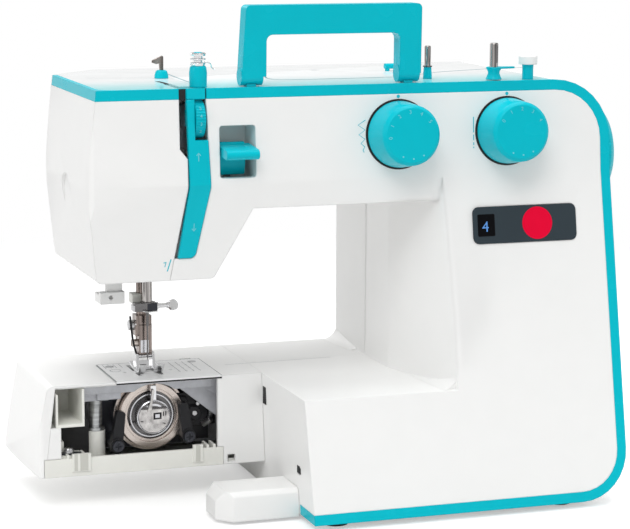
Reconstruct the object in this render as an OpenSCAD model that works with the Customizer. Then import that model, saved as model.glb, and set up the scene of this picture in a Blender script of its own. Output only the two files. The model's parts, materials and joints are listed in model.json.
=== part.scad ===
// Free-arm sewing machine with a front-loading oscillating hook.
// Millimetres, +Z up, front towards -Y, table at Z = 0, origin under the middle of the whole machine.

/* [Body] */
// Height of the body's top above the table
body_h = 272.5; // [266:0.5:280]
// Height of the rubber feet
foot_h = 4; // [3:0.5:6]
// Wall of the moulded covers
wall = 3; // [2.4:0.2:3.4]
// Right side of the body at its top
right_top_x = 174; // [170:1:176]
// Right side of the body at its bottom
right_low_x = 177.5; // [176:0.5:180]
// Radius of the upper right corner
corner_top_r = 38; // [30:1:44]
// Radius of the lower right corner
corner_low_r = 32; // [24:1:38]
// Front of the body at the top
front_top_y = -58; // [-61:0.5:-56]
// Front of the body at the crease
crease_y = -62; // [-65:0.5:-61]
// Height of the crease that runs round the head
crease_z = 214; // [208:1:220]
// Front of the base at its foot
base_front_y = -97; // [-104:1:-90]
// Back of the body
rear_y = 97; // [92:1:102]
// Plane where the front and back covers meet
parting_y = 38; // [34:1:44]

/* [Head and throat] */
// Left side of the head at its top
head_left_top = -163; // [-168:1:-158]
// Left side of the head at the crease
head_left_mid = -170; // [-175:1:-165]
// Left side of the head at its bottom
head_left_low = -162; // [-167:1:-157]
// Underside of the head
head_low_z = 154; // [150:1:160]
// Front of the head at its bottom
head_low_y = -50; // [-54:1:-46]
// Lower right corner of the head
slant_low_x = -88; // [-92:1:-84]
// Where the slanted side of the head meets the arm
slant_top_x = -65; // [-70:1:-60]
// Underside of the arm
arm_under_z = 198; // [192:1:204]
// Left side of the column, in the throat
throat_x = 44; // [38:1:50]
// Where the throat bevel meets the front face
bevel_x = 62; // [56:1:70]
// Radius between the column and the bed
throat_r = 14; // [8:1:18]
// Height of the bed above the table
bed_z = 80.5; // [76:0.5:86]

/* [Free arm] */
// Left end of the arm at its top
arm_left_top = -182; // [-186:1:-179]
// Left end of the arm at its bottom
arm_left_low = -193.7; // [-198:0.1:-188]
// Front of the free arm
arm_front_y = 3; // [0:1:6]
// Underside of the free arm
arm_low_z = 21; // [18:1:24]
// Left side of the base, at its top
step_x = -40; // [-44:1:-36]
// Left end of the hook opening
hook_door_x0 = -177; // [-179:1:-174]
// Right end of the hook opening
hook_door_x1 = -70; // [-72:1:-66]
// Lower lip of the hook opening
hook_door_z = 33; // [30:1:35]
// Height of the support foot beside the free arm
support_h = 21; // [20:0.5:28]
// How far the support foot reaches left of the base
support_w = 49.5; // [40:0.5:52]

/* [Trim] */
// Width of the coloured trim
trim_w = 6.5; // [5:0.5:8]
// Thickness of the coloured trim
trim_t = 2.6; // [2:0.1:3]

/* [Needle and presser] */
// Needle, from the middle of the machine
needle_x = -110; // [-112:0.5:-108]
// Needle, front to back
needle_y = 28.5; // [27.5:0.5:30]
// Radius of the needle bar
needle_bar_r = 3.2; // [2.8:0.1:3.4]
// Height of the needle clamp at the top of the stroke
clamp_z = 124; // [120:1:126]
// Distance from the needle bar to the presser bar
presser_gap = 11.5; // [11:0.5:13]
// Radius of the presser bar
presser_bar_r = 3.4; // [3:0.1:3.6]
// Running clearance of a shaft in its bush
run_gap = 0.05; // [0.02:0.01:0.09]
// Clearance between parts that only pass each other
pass_gap = 0.4; // [0.3:0.1:0.6]

/* [Needle plate] */
// Length of the needle plate
plate_l = 70; // [66:1:74]
// Depth of the needle plate
plate_d = 55; // [50:1:58]
// Thickness of the needle plate
plate_t = 2; // [1.5:0.1:2.5]

/* [Hook] */
// Height of the hook shaft
hook_z = 53.5; // [52:0.5:55]
// Outer radius of the hook
hook_r = 15.9; // [15.5:0.1:16.2]
// Outer radius of the race ring
race_r = 21.3; // [20.5:0.1:21.4]
// Outer radius of the bobbin case
case_r = 11.2; // [11:0.1:11.3]
// Front face of the bobbin case
case_y = 14; // [13.5:0.5:14.5]
// Front of the race ring
race_y = 19; // [18.5:0.5:19.5]
// Radius of the hook shaft
hook_shaft_r = 4; // [3.5:0.5:4.5]
// Length of the latches beside the race
latch_l = 22; // [20:1:24]

/* [Handle] */
// Top of the handle above the table
handle_top = 322; // [312:1:330]
// Left end of the handle
handle_x0 = -72; // [-76:1:-69]
// Right end of the handle
handle_x1 = 45; // [42:1:47]
// Width of the handle's legs
handle_leg = 14; // [12:1:16]
// Height of the handle's grip
handle_grip = 18; // [15:1:21]
// Thickness of the handle, front to back
handle_t = 11; // [10:0.5:12]

/* [Dials] */
// Left dial, from the middle of the machine
dial_1_x = 29.5; // [26:0.5:32]
// Right dial, from the middle of the machine
dial_2_x = 103; // [100:0.5:106]
// From the top of the body down to the middle of both dials
dial_drop = 31.5; // [30:0.5:33]
// Radius of a dial at the panel
dial_r = 20.8; // [19:0.1:22]
// Length of a dial
dial_l = 24; // [22:1:28]
// Radius of a dial's shaft
dial_shaft_r = 3; // [2.5:0.5:4]
// Radius of the thread tension wheel
tension_r = 11.8; // [11:0.2:12]
// Width of the thread tension wheel
tension_w = 6; // [5:0.5:7]
// From the trim down to the middle of the thread tension wheel
tension_drop = 12.5; // [12.5:0.5:13.5]

/* [Reverse lever] */
// Left side of the reverse lever's recess
recess_x0 = -87; // [-89:0.5:-85]
// Width of the recess
recess_w = 23; // [21:0.5:25]
// Bottom of the recess
recess_z = 217.5; // [216:0.5:219]
// Height of the recess
recess_h = 32; // [30:0.5:34]
// Radius of the shield behind the lever's tab
lever_r = 22; // [20:0.5:23]

/* [Hand wheel and drive] */
// Height of the main shaft
shaft_z = 219; // [218:0.5:220]
// Radius of the main shaft
shaft_r = 4.5; // [4:0.5:5]
// Radius of the hand wheel
wheel_r = 33.5; // [30:0.5:35]
// Outer face of the hand wheel
wheel_x = 194.5; // [193:0.5:198]
// Gap between the hand wheel and the top of the body's side
wheel_gap = 4; // [4:0.5:5]
// Radius of the motor pulley
pulley_r = 9; // [8:0.5:10]
// Radius of the belt wheel on the main shaft
belt_wheel_r = 27; // [24:1:28]

/* [Top] */
// Spool pin radius
spool_r = 2; // [1.8:0.1:2.6]
// Spool pin, from the middle of the machine
spool_x = 60; // [58:1:66]
// Spool pin length
spool_l = 13; // [10:1:16]
// Bobbin winder, from the middle of the machine
winder_x = 93; // [90:1:96]
// Bobbin winder spindle radius
winder_r = 2.7; // [2.4:0.1:3]
// Winder stop, from the middle of the machine
stop_x = 118; // [115:1:122]

/* [Hidden] */
big = 400;
eps = 0.01;
seam = 0.2;
floor_z = foot_h + wall;
feed = 4;
trim_z = body_h - trim_w;
dial_z = body_h - dial_drop;
tension_z = trim_z - tension_drop;
wheel_in = right_top_x + wheel_gap;
step_low_x = step_x + 3;
presser_x = needle_x - 1;
presser_y = needle_y + presser_gap;
plate_x0 = needle_x - 27.3;
plate_y0 = arm_front_y - 0.5;
take_x0 = -112;
take_x1 = -107.6;
strip_low_z = 168;
top_right_x = right_top_x - corner_top_r - 1;
hinge_x = take_x0 - 2.5;
hinge_y = rear_y - 2.5;
hinge_r = 2.4;
hinge_pin_r = 1.2;
shaft_y = 0;
handle_y = front_top_y + 1 + handle_t / 2;
handle_pin_z = body_h + handle_t / 2 + 0.5;
handle_pin_r = 1.6;
handle_lug_w = 6;

// Helpers ---------------------------------------------------------------------------------------

function unit(v) = v / norm(v);
// Points of an arc of radius r that rounds the corner b between a and c
function corner(a, b, c, r, n) = r <= 0 ? [b] :
    let (u = unit(a - b), v = unit(c - b), half = acos(u * v) / 2,
         centre = b + unit(u + v) * r / sin(half),
         p = b + u * r / tan(half) - centre, q = b + v * r / tan(half) - centre,
         from = atan2(p[1], p[0]), turn = (atan2(q[1], q[0]) - from + 540) % 360 - 180)
    [for (i = [0:n]) centre + r * [cos(from + turn * i / n), sin(from + turn * i / n)]];
function rounded(p, r, n = 6) = let (k = len(p))
    [for (i = [0:k - 1]) each corner(p[(i + k - 1) % k], p[i], p[(i + 1) % k], r[i], n)];
// A front-view outline made solid from y0 back to y1
module along_y(y0, y1) translate([0, y1, 0]) rotate([90, 0, 0]) linear_extrude(y1 - y0) children();
// A side-view outline (Y, Z) made solid from x0 to x1
module along_x(x0, x1) translate([x0, 0, 0]) rotate([90, 0, 90]) linear_extrude(x1 - x0) children();
module box(low, high) translate(low) cube(high - low);
module rod_x(x0, x1, y, z, r) translate([x0, y, z]) rotate([0, 90, 0]) cylinder(h = x1 - x0, r = r, $fn = 48);
module rod_y(y0, y1, x, z, r) translate([x, y1, z]) rotate([90, 0, 0]) cylinder(h = y1 - y0, r = r, $fn = 64);
module rod_z(z0, z1, x, y, r) translate([x, y, z0]) cylinder(h = z1 - z0, r = r, $fn = 48);
module slab(x0, x1, z0, z1, r) polygon(rounded([[x0, z0], [x1, z0], [x1, z1], [x0, z1]], [r, r, r, r], 4));

// Outer form of the body, inset by w --------------------------------------------------------------

// Front of the body at height z, on the column
function front_y(z) = z >= crease_z
    ? front_top_y + (crease_y - front_top_y) * (body_h - z) / (body_h - crease_z)
    : crease_y + (base_front_y - crease_y) * (crease_z - z) / (crease_z - foot_h);
// Front of the head at height z, below the crease
function head_y(z) = z >= crease_z ? front_y(z)
    : crease_y + (head_low_y - crease_y) * (crease_z - z) / (crease_z - head_low_z);
// Left side of the head at height z
function head_x(z) = z >= crease_z
    ? head_left_mid + (head_left_top - head_left_mid) * (z - crease_z) / (body_h - crease_z)
    : head_left_mid + (head_left_low - head_left_mid) * (crease_z - z) / (crease_z - head_low_z);
function slope_inset(w) = 0.607 * w;

function body_outline(w) = rounded(
    [[head_left_top + w, body_h - w], [right_top_x - w, body_h - w], [right_low_x - w, foot_h + w],
     [step_low_x + w, foot_h + w], [step_x + w, bed_z - w], [throat_x + w, bed_z - w],
     [throat_x + w, arm_under_z + w], [slant_top_x - slope_inset(w), arm_under_z + w],
     [slant_low_x - slope_inset(w), head_low_z + w], [head_left_low + w, head_low_z + w],
     [head_left_mid + w, crease_z]],
    [0, corner_top_r - w, corner_low_r - w, 0, 0, throat_r + w, 5 + w, 0, 4, 4, 0], 8);
module head_profile(w) polygon(
    [[front_top_y + w, body_h - w], [crease_y + w, crease_z], [head_low_y + w, head_low_z + w],
     [rear_y - w, head_low_z + w], [rear_y - w, body_h - w]]);
module column_profile(w) polygon(
    [[front_top_y + w, body_h - w], [crease_y + w, crease_z], [base_front_y + w, foot_h + w],
     [rear_y - w, foot_h + w], [rear_y - w, body_h - w]]);
// Plan of the head, with its rounded front corner and its cut back corner
module head_plan(w) polygon(rounded(
    [[head_left_mid + w, crease_y + w], [throat_x + 30, crease_y + w], [throat_x + 30, rear_y - w],
     [head_left_mid + 42, rear_y - w], [head_left_mid + w, 58]],
    [12, 0, 0, 10, 14], 5));
module column_plan(w) polygon(
    [[throat_x + w, rear_y - w], [throat_x + w, -6], [bevel_x + w, crease_y - 14], [bevel_x + w, -110],
     [big, -110], [big, rear_y - w]]);
module body_space(w) intersection() {
    along_y(-120, 120) polygon(body_outline(w));
    union() {
        intersection() {
            along_x(-big, bevel_x + 4) head_profile(w);
            linear_extrude(big) head_plan(w);
            union() {
                box([-big, -big, 0], [0, big, big]);
                box([-1, -big, arm_under_z + w], [big, big, big]);
            }
        }
        intersection() {
            along_x(-big, bevel_x + 4) column_profile(w);
            box([-big, -big, 0], [big, big, bed_z - w]);
        }
        intersection() {
            along_x(throat_x, big) column_profile(w);
            linear_extrude(big) column_plan(w);
        }
    }
}
// Everything left of the take-up slot and the gap below it
module face_side(gap) along_y(-big, big) polygon(
    [[-big, -big], [-116 - gap, -big], [-116 - gap, head_low_z], [take_x0 + 4.8 - gap, crease_z - 2],
     [take_x0 + 4.8 - gap, crease_z + 16], [take_x0 - gap, crease_z + 22], [take_x0 - gap, big], [-big, big]]);
module top_zone() box([-big, -big, trim_z], [top_right_x, big, big]);

// Trim ---------------------------------------------------------------------------------------------

module trim_outline() difference() {
    polygon([[-big, body_h + 2], [right_top_x + 4, body_h + 2], [right_low_x + 4, foot_h - 2], [step_low_x - 20, foot_h - 2]]);
    polygon(rounded([[-big - 1, trim_z], [right_top_x - trim_w, trim_z], [right_low_x - trim_w, foot_h + trim_w],
        [-big, foot_h + trim_w]], [0, corner_top_r - trim_w, corner_low_r - trim_w, 0], 8));
}
// Space taken by the trim, reaching out beyond the body
module trim_tool() {
    intersection() {
        along_y(-big, big) trim_outline();
        along_x(-big, big) polygon(
            [[front_top_y - 4, body_h + 3], [base_front_y - 4, crease_z], [base_front_y - 4, foot_h - 3],
             [base_front_y + trim_t, foot_h - 3], [crease_y + trim_t, crease_z],
             [front_top_y + trim_t, body_h + 3]]);
    }
    difference() {
        box([-big, crease_y - 1, trim_z], [take_x0 - 1, 62, body_h + 2]);
        linear_extrude(big) offset_plan();
    }
    box([step_x - 1, base_front_y - 1, foot_h - 1], [step_low_x + trim_t, base_front_y + 29, foot_h + trim_w]);
}
module trim_space() intersection() {
    body_space(0);
    trim_tool();
}
// Plan inside the trim that runs back along the head
module offset_plan() polygon(rounded(
    [[head_left_top + trim_t + 0.6, front_top_y + trim_t], [0, front_top_y + trim_t], [0, 63],
     [head_left_top + trim_t + 0.6, 63]], [10, 0, 0, 0], 5));
module trim_ring() color("darkturquoise") difference() {
    trim_space();
    // the take-up slot and the seam beside it run on across the trim
    box([take_x0, -big, trim_z - 1], [take_x1 + 0.5, front_top_y + 1.2, big]);
    seam_groove();
}
groove_x = -95.4;
module seam_groove() box([groove_x, -big, trim_z - 1], [groove_x + 0.8, front_top_y + 1.2, big]);

// Covers -------------------------------------------------------------------------------------------

module thread_outline(gap) polygon(rounded(
    [[take_x1 - gap, body_h + 1], [take_x1 + 1.2 - gap, crease_z + 3], [take_x1 + 1.2 - gap, crease_z - 2],
     [-111.6 - gap, strip_low_z - gap], [-100.7 + gap, strip_low_z - gap], [-93 + gap, crease_z - 2],
     [-93 + gap, crease_z + 3], [groove_x + gap, body_h + 1]],
    [0, 0, 0, 0, 4, 0, 0, 0], 4));
module head_layer(out, deep) along_x(-big, 0) polygon(
    [[front_top_y - out, body_h + 1], [crease_y - out, crease_z], [head_low_y - out, head_low_z],
     [head_low_y + deep, head_low_z], [crease_y + deep, crease_z], [front_top_y + deep, body_h + 1]]);
module dial_hole(x) translate([x, front_y(dial_z), dial_z]) rotate([90 + panel_tilt, 0, 0])
    cylinder(h = 40, r = dial_shaft_r + run_gap, center = true, $fn = 48);
panel_tilt = -atan((front_top_y - crease_y) / (body_h - crease_z));
recess_back = crease_y + 24;
module recess_box(w) box([recess_x0 - w, front_top_y + 2 - w, recess_z - 14 - w],
    [recess_x0 + recess_w + w, recess_back + w, recess_z + recess_h + w]);
module bars_opening() box([needle_x - 16, needle_y - 12, head_low_z - 1], [needle_x + 14, presser_y + 14, head_low_z + wall + 1]);

// Ears behind the recess for the reverse lever's pin, or the bore through them
module lever_ears(bore) {
    if (bore == 1) rod_x(recess_x0 - 3, recess_x0 + recess_w + 3, lever_y, lever_z, lever_pin_r + run_gap);
    if (bore == 0) for (x = [recess_x0 + 3, recess_x0 + 17])
        box([x, recess_back, lever_z - 5], [x + 3, lever_y + 5, lever_z + 5]);
}
module cover_rest() {
    top_zone();
    trim_tool();
    face_side(-seam);
}
module front_cover() color("whitesmoke") difference() {
    union() {
        difference() {
            body_space(0);
            body_space(wall);
        }
        intersection() {
            body_space(0);
            recess_box(2);
        }
        lever_ears(0);
        for (x = [dial_1_x, dial_2_x]) intersection() {
            body_space(0);
            translate([x, front_y(dial_z), dial_z]) rotate([90 + panel_tilt, 0, 0])
                cylinder(h = 24, r = dial_shaft_r + 3, center = true, $fn = 48);
        }
    }
    box([-big, parting_y, -big], [big, big, big]);
    cover_rest();
    recess_box(0);
    intersection() {
        along_y(-big, 0) slab(recess_x0, recess_x0 + recess_w, recess_z, recess_z + recess_h, 2);
        box([-big, -big, 0], [0, front_top_y + 2.1, big]);
    }
    box([recess_x0 + 9, recess_back - 1, recess_z - 2], [recess_x0 + 14, recess_back + 3, recess_z + 16]);
    for (x = [dial_1_x, dial_2_x]) dial_hole(x);
    lever_ears(1);
    intersection() {
        along_y(-big, 0) thread_outline(0.15);
        box([-big, -big, 0], [0, head_low_y + 8, big]);
    }
    along_y(-big, -44) polygon([[take_x0 - 6, crease_z + 8], [take_x1 + 1, crease_z + 8],
        [take_x1 + 1, big], [take_x0 - 6, big]]);
    along_y(-big, head_low_y + 8) polygon([[-125, strip_low_z], [-106, strip_low_z], [take_x1 + 6, crease_z],
        [take_x1 + 6, crease_z + 24], [-125, crease_z + 24]]);
    bars_opening();
    arm_window();
    base_floor(seam);
    // slot and catch hole for the sewing table
    box([step_x - 1, -1.2, 60.6], [step_low_x + wall, 1, 72]);
    box([step_x - 1, -70.3, 30], [step_low_x + wall, -64.7, 35.4]);
    rod_x(right_top_x - 30, big, shaft_y, shaft_z, shaft_r + 1);
    panel_form(0.1, 2, 0.9);
}
module base_floor(gap) intersection() {
    along_y(base_front_y + wall + 2, rear_y - wall - 1) slab(step_low_x + wall + 1 - gap, right_low_x - 26,
        foot_h - 5 * gap, floor_z + gap, 0);
}
module rear_cover() color("white") {
    rear_shell();
    knuckles([head_low_z + 34, trim_z - 48], hinge_x, hinge_x + 7);
}
// Hinge knuckles at the heights zs, joined to the wall between x0 and x1
module knuckles(zs, x0, x1) for (z = zs) difference() {
    union() {
        rod_z(z, z + knuckle_h, hinge_x, hinge_y, hinge_r);
        box([x0, hinge_y - 0.5, z], [x1, hinge_y + hinge_r, z + knuckle_h]);
    }
    rod_z(0, big, hinge_x, hinge_y, hinge_pin_r + run_gap);
}
knuckle_h = 17.7;
module rear_shell() difference() {
    body_space(0);
    body_space(wall);
    box([-big, -big, -big], [big, parting_y + seam, big]);
    top_zone();
    trim_tool();
    face_side(-seam);
    bars_opening();
    arm_window();
    base_floor(seam);
    translate([-big, arm_front_y, arm_low_z]) cube([big + step_x - 1, big, bed_z - arm_low_z + 1]);
    box([inlet_x - 14, inlet_y0, inlet_z0], [big, inlet_y0 + inlet_l, inlet_z0 + inlet_h]);
    box([-big, rear_y - 8, -big], [hinge_x + hinge_r + 0.3, big, big]);
}
module top_cover() color("white") difference() {
    intersection() {
        body_space(0);
        top_zone();
    }
    trim_tool();
    box([head_left_top + 12, front_top_y + 10, trim_z - 1], [top_right_x - wall, rear_y - 12, body_h - wall]);
    box([take_x0, -big, trim_z - 1], [take_x1 + 0.5, -22, big]);
    intersection() {
        along_y(-big, 0) thread_outline(0.15);
        box([-big, -big, 0], [0, head_low_y + 8, big]);
    }
    box([groove_x, -big, body_h - 1.2], [groove_x + 0.8, 20, big]);
}
module face_cover() color("white") {
    face_shell();
    knuckles([head_low_z + 16, trim_z - 24], hinge_x - hinge_r - 1, hinge_x);
}
module face_shell() difference() {
    intersection() {
        body_space(0);
        face_side(0);
    }
    body_space(wall);
    top_zone();
    trim_tool();
    bars_opening();
    box([hinge_x - hinge_r - 0.2, rear_y - 8, -big], [big, big, big]);
    rod_x(-big, head_left_mid + 2.2, -2, 205, 12);
    box([head_left_low + 14, head_low_y + 22, head_low_z - 1], [-100, 86, head_low_z + wall + 1]);
}
// The pin that the face cover swings on
module face_hinge_pin() color("silver") {
    rod_z(head_low_z + 17, trim_z - 7, hinge_x, hinge_y, hinge_pin_r);
}
tension_x = needle_x + 8.1 + tension_w / 2;
tension_y = front_y(tension_z) + tension_r - 3;
tension_axle = 2.4;
module thread_cover() color("darkturquoise") difference() {
    union() {
        intersection() {
            along_y(-big, 0) thread_outline(-0.15);
            head_layer(0.8, 3.2);
            box([-big, -big, 0], [0, big, trim_z - 0.15]);
        }
        // ear for the tension wheel's axle
        box([tension_x - tension_w / 2 - 3, crease_y + 3, tension_z - 5], [tension_x - tension_w / 2 - 0.5, tension_y + 5, tension_z + 5]);
    }
    box([tension_x - tension_w / 2 - 0.5, -big, tension_z - tension_r - 0.5], [0, 0, big]);
    rod_x(-big, 0, tension_y, tension_z, tension_axle + run_gap);
}

// Free arm and base --------------------------------------------------------------------------------

function arm_x(z) = arm_left_top + (arm_left_low - arm_left_top) * (bed_z - z) / (bed_z - arm_low_z);
// Left side of the base at height z
function step_at(z) = step_x + (step_low_x - step_x) * (bed_z - z) / (bed_z - foot_h);
module arm_form(w) intersection() {
    along_y(arm_front_y + w, rear_y - w) polygon(rounded(
        [[arm_x(bed_z) + w, bed_z - w], [step_at(bed_z) + w - 0.1, bed_z - w],
         [step_at(arm_low_z) + w - 0.1, arm_low_z + w], [arm_x(arm_low_z) + w, arm_low_z + w]],
        [5, 0, 0, 3], 4));
    linear_extrude(big) polygon(rounded(
        [[arm_left_low + 6 + w, arm_front_y + w], [0, arm_front_y + w], [0, rear_y - w],
         [arm_left_low + w, rear_y - w]], [3, 0, 0, 10], 4));
}
module plate_recess(gap) box([plate_x0 - gap, plate_y0 - 1, bed_z - plate_t], [plate_x0 + plate_l + gap, plate_y0 + plate_d + gap, bed_z + 1]);
module free_arm_shell() color("white") difference() {
    arm_form(0);
    arm_form(wall);
    // opening to the hook
    along_y(-big, arm_front_y + wall + 1) polygon([[hook_door_x0 - 5.5, hook_door_z], [hook_door_x1, hook_door_z],
        [hook_door_x1, bed_z - 1.5], [hook_door_x0, bed_z - 1.5]]);
    box([plate_x0 - seam, -big, hook_door_z], [hook_door_x1, arm_front_y + wall + 1, big]);
    plate_recess(seam);
    box([plate_x0 + 4, plate_y0, bed_z - 8], [plate_x0 + plate_l - 4, plate_y0 + plate_d - 4, bed_z + 1]);
    // the tray closes the underside
    box([arm_left_low + 9, -big, -1], [lip_x1, rear_y - wall, hook_door_z]);
    box([lip_x1 - 1, arm_front_y + wall, -1], [big, rear_y - wall, hook_door_z]);
    box([-63.2, -big, 22.6], [-58.2, arm_front_y + wall + 1, 27.4]);
}
// Way through the side of the base for the arm's casting
module arm_window() box([step_x - 2, arm_front_y + wall + 1, arm_low_z + wall + 1],
    [step_low_x + wall + 1, rear_y - wall - 4, bed_z - wall - 0.2]);
lip_x1 = hook_door_x1 + 4;
tray_x1 = step_x + 1.5;
post_x = -146.6;
post_r = 4.2;
module arm_tray() color("ivory") {
    difference() {
        union() {
            box([arm_left_low + 9.2, arm_front_y + wall + seam, arm_low_z], [tray_x1, rear_y - wall - seam, arm_low_z + wall]);
            box([arm_left_low + 9.2, arm_front_y, arm_low_z], [lip_x1 - seam, arm_front_y + wall + 1, arm_low_z + wall]);
            box([arm_left_low + 9.2, arm_front_y, arm_low_z], [lip_x1 - seam, arm_front_y + 2.4, hook_door_z - seam]);
            // clips in front of the lip
            box([-166.6, arm_front_y - 0.8, 24], [-154.4, arm_front_y + 2, 35.5]);
            box([-86.6, arm_front_y - 0.8, 24], [-80, arm_front_y + 2, 35.5]);
            // ribs that carry the cover over the hook
            for (x = [-170, -164.5, -159, -77.5, -73]) box([x, arm_front_y, arm_low_z], [x + 1.6, arm_front_y + 12, hook_door_z + 2]);
            rod_z(arm_low_z, 46, post_x, 22, post_r + 1.8);
            box([-176, 12, arm_low_z], [-170, 30, 42]);
        }
        rod_z(30, 50, post_x, 22, post_r + 0.02);
    }
    // parts box at the end of the arm
    difference() {
        box([arm_left_top + wall + 2.4, arm_front_y + 1, 53], [-158, 46, bed_z - wall - 0.2]);
        box([arm_left_top + wall + 3.9, -1, 55], [-159.5, 44, bed_z - wall - 1.7]);
        box([-big, -big, bed_z - wall - 3], [-159.5, 44, bed_z]);
    }
    box([-178, 14, 40], [-172, 28, 53.5]);
}
module base_plate() color("gainsboro") difference() {
    base_floor(0);
    for (p = foot_places) rod_z(-1, foot_h + 2, p[0], p[1], 3 + run_gap);
    for (x = [40:8:104]) box([x, -20, -1], [x + 4, 20, 40]);
}
foot_places = [[136, -78], [136, 80], [-22, 80], [-18, -80]];
module rubber_feet() color("dimgray") {
    for (p = foot_places) {
        rod_z(0, foot_h - 0.02, p[0], p[1], 8);
        rod_z(foot_h - 0.1, foot_h + 1.8, p[0], p[1], 3);
    }
    rod_z(0, 2, step_x - support_w + 16, -52, 6);
}
module support_foot() color("white") difference() {
    intersection() {
        along_y(-67, -36) polygon([[step_x - support_w + 5, support_h], [step_at(support_h) - 0.1, support_h], [step_at(2) - 0.1, 2],
            [step_x - support_w, 2], [step_x - support_w, support_h - 7]]);
        linear_extrude(big) polygon([[step_x - support_w + 9, -67], [0, -67], [0, -36], [step_x - support_w, -36], [step_x - support_w, -57]]);
        along_x(-big, 0) polygon([[-67, 0], [-36, 0], [-36, 40], [-64.5, support_h], [-67, support_h - 3]]);
    }
    box([step_x - support_w + 10, -64, 1], [step_x - 4, -60.5, 3]);
}
module needle_plate() color("silver") difference() {
    box([plate_x0, plate_y0, bed_z - plate_t + 0.02], [plate_x0 + plate_l, plate_y0 + plate_d, bed_z + 0.3]);
    // slot for the needle
    box([needle_x - 3.5, needle_y - 1.1, 0], [needle_x + 3.5, needle_y + 1.1, big]);
    // slots for the teeth
    for (x = tooth_rows) box([needle_x + x - 0.4, needle_y + 4.4, 0], [needle_x + x + 2.2, needle_y + 18.4 + feed, big]);
    for (x = side_rows) box([needle_x + x - 0.4, needle_y - 12, 0], [needle_x + x + 2.2, needle_y - 5.9 + feed, big]);
    for (x = [7, plate_l - 7]) {
        rod_z(0, big, plate_x0 + x, plate_y0 + plate_d - 8, 1.8);
        rod_z(bed_z - 0.4, big, plate_x0 + x, plate_y0 + plate_d - 8, 3);
    }
    // threaded holes for attachments
    for (x = [-15, 15.8]) rod_z(0, big, needle_x + x, needle_y + 1.5, 1.4);
}
module plate_screws() color("silver") for (x = [7, plate_l - 7])
    translate([plate_x0 + x, plate_y0 + plate_d - 8, 0]) difference() {
        union() {
            translate([0, 0, bed_z - 0.35]) cylinder(h = 0.75, r = 2.7, $fn = 32);
            translate([0, 0, bed_z - 6]) cylinder(h = 6, r = 1.7, $fn = 32);
        }
        translate([-4, -0.4, bed_z]) cube([8, 0.8, 2]);
    }

// Castings that carry the shafts -------------------------------------------------------------------

module frame_casting() color("lightgray") difference() {
    union() {
        box([-98, 12, trim_z - 38], [right_top_x - 44, 26, trim_z - 10]);
        box([-124, 12, bush_z], [-92, 52, bush_z + 12]);
        box([-124, 12, shaft_z - 1], [-92, 52, shaft_z + 11]);
        box([-98, 12, bush_z], [-92, 26, trim_z - 10]);
        // guide of the buttonhole lever
        box([-142, 24.7, bush_z], [-122, 34, bush_z + 12]);
        // tongue that carries the presser lifter
        box([lifter_x - 5.5, 46.5, lifter_z - 6], [lifter_x + 5.5, 52.5, bush_z + 12]);
        // ear of the take-up lever
        box([-106, take_y - 6, take_z - 6], [-97, 26, take_z + 6]);
        // bearing cheeks of the main shaft
        for (x = [-66, 118]) box([x, -9, shaft_z - 9], [x + 12, 26, 240]);
        box([50, 12, floor_z], [62, 26, 240]);
        box([50, 20, floor_z], [62, 60, 34]);
        box([50, -8, floor_z], [134, 44, 20]);
        box([casting_x, 40, 24], [134, 60, 34]);
    }
    rod_z(0, big, needle_x, needle_y, needle_bar_r + run_gap);
    rod_z(0, big, presser_x, presser_y, presser_bar_r + run_gap);
    rod_x(-big, big, shaft_y, shaft_z, shaft_r + run_gap);
    rod_x(-130, -90, take_y, take_z, 3 + run_gap);
    rod_y(40, 60, lifter_x, lifter_z, 2.5 + run_gap);
}
// Underside of the lower bushes of the needle bar and the presser bar
bush_z = head_low_z + 18;
// Where the arm's casting meets the frame
casting_x = step_x + 8;
// Cast bridge over the hook
module arm_casting() color("silver") difference() {
    union() {
        box([-157, 12, bed_z - 9], [casting_x, 22, bed_z - wall - 0.3]);
        box([-157, 12, bed_z - 9], [-150, 88, bed_z - wall - 0.3]);
        box([-78, 12, bed_z - 9], [-66, 88, bed_z - wall - 0.3]);
        along_y(48, 56) slab(-154, casting_x, 26, bed_z - 8.5, 0);
        along_y(14, 18) polygon([[-78, bed_z - 8.5], [casting_x, bed_z - 8.5], [casting_x, 48], [step_x, 48]]);
    }
    rod_y(0, 44, needle_x, hook_z, race_r + 1.2);
    rod_y(0, big, needle_x, hook_z, hook_shaft_r + run_gap);
    plate_recess(seam);
    for (x = [7, plate_l - 7]) rod_z(0, big, plate_x0 + x, plate_y0 + plate_d - 8, 1.72);
    box([needle_x - 13, needle_y - 14, bed_z - 10], [needle_x + 13, needle_y + 26, big]);
    rod_y(24, 32, needle_x, hook_z, race_r + flange_w + 0.6);
}
// Plate behind the hook that holds the race ring and the latches' pivots
module race_base() color("gray") difference() {
    union() {
        along_y(31, 36) slab(needle_x - 31, needle_x + 30, 31, bed_z - 9.2, 5);
        for (p = latch_places) rod_y(latch_back + 0.3, 33, needle_x + p[0], hook_z + p[1], 4.2);
        // raised rim round the race ring
        rod_y(26, 32, needle_x, hook_z, race_r + flange_w);
        box([needle_x - 31, 36, 50], [needle_x - 22, 48, 58]);
        box([needle_x + 22, 36, 50], [needle_x + 30, 48, 58]);
    }
    rod_y(0, 60, needle_x, hook_z, hook_shaft_r + 0.6);
    rod_y(0, 31.2, needle_x, hook_z, race_r + 0.3);
    // room below the feed dog
    box([needle_x - 15, 0, bed_z - 6.3], [needle_x + 15, 60, big]);
}
flange_w = 2.6;
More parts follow.
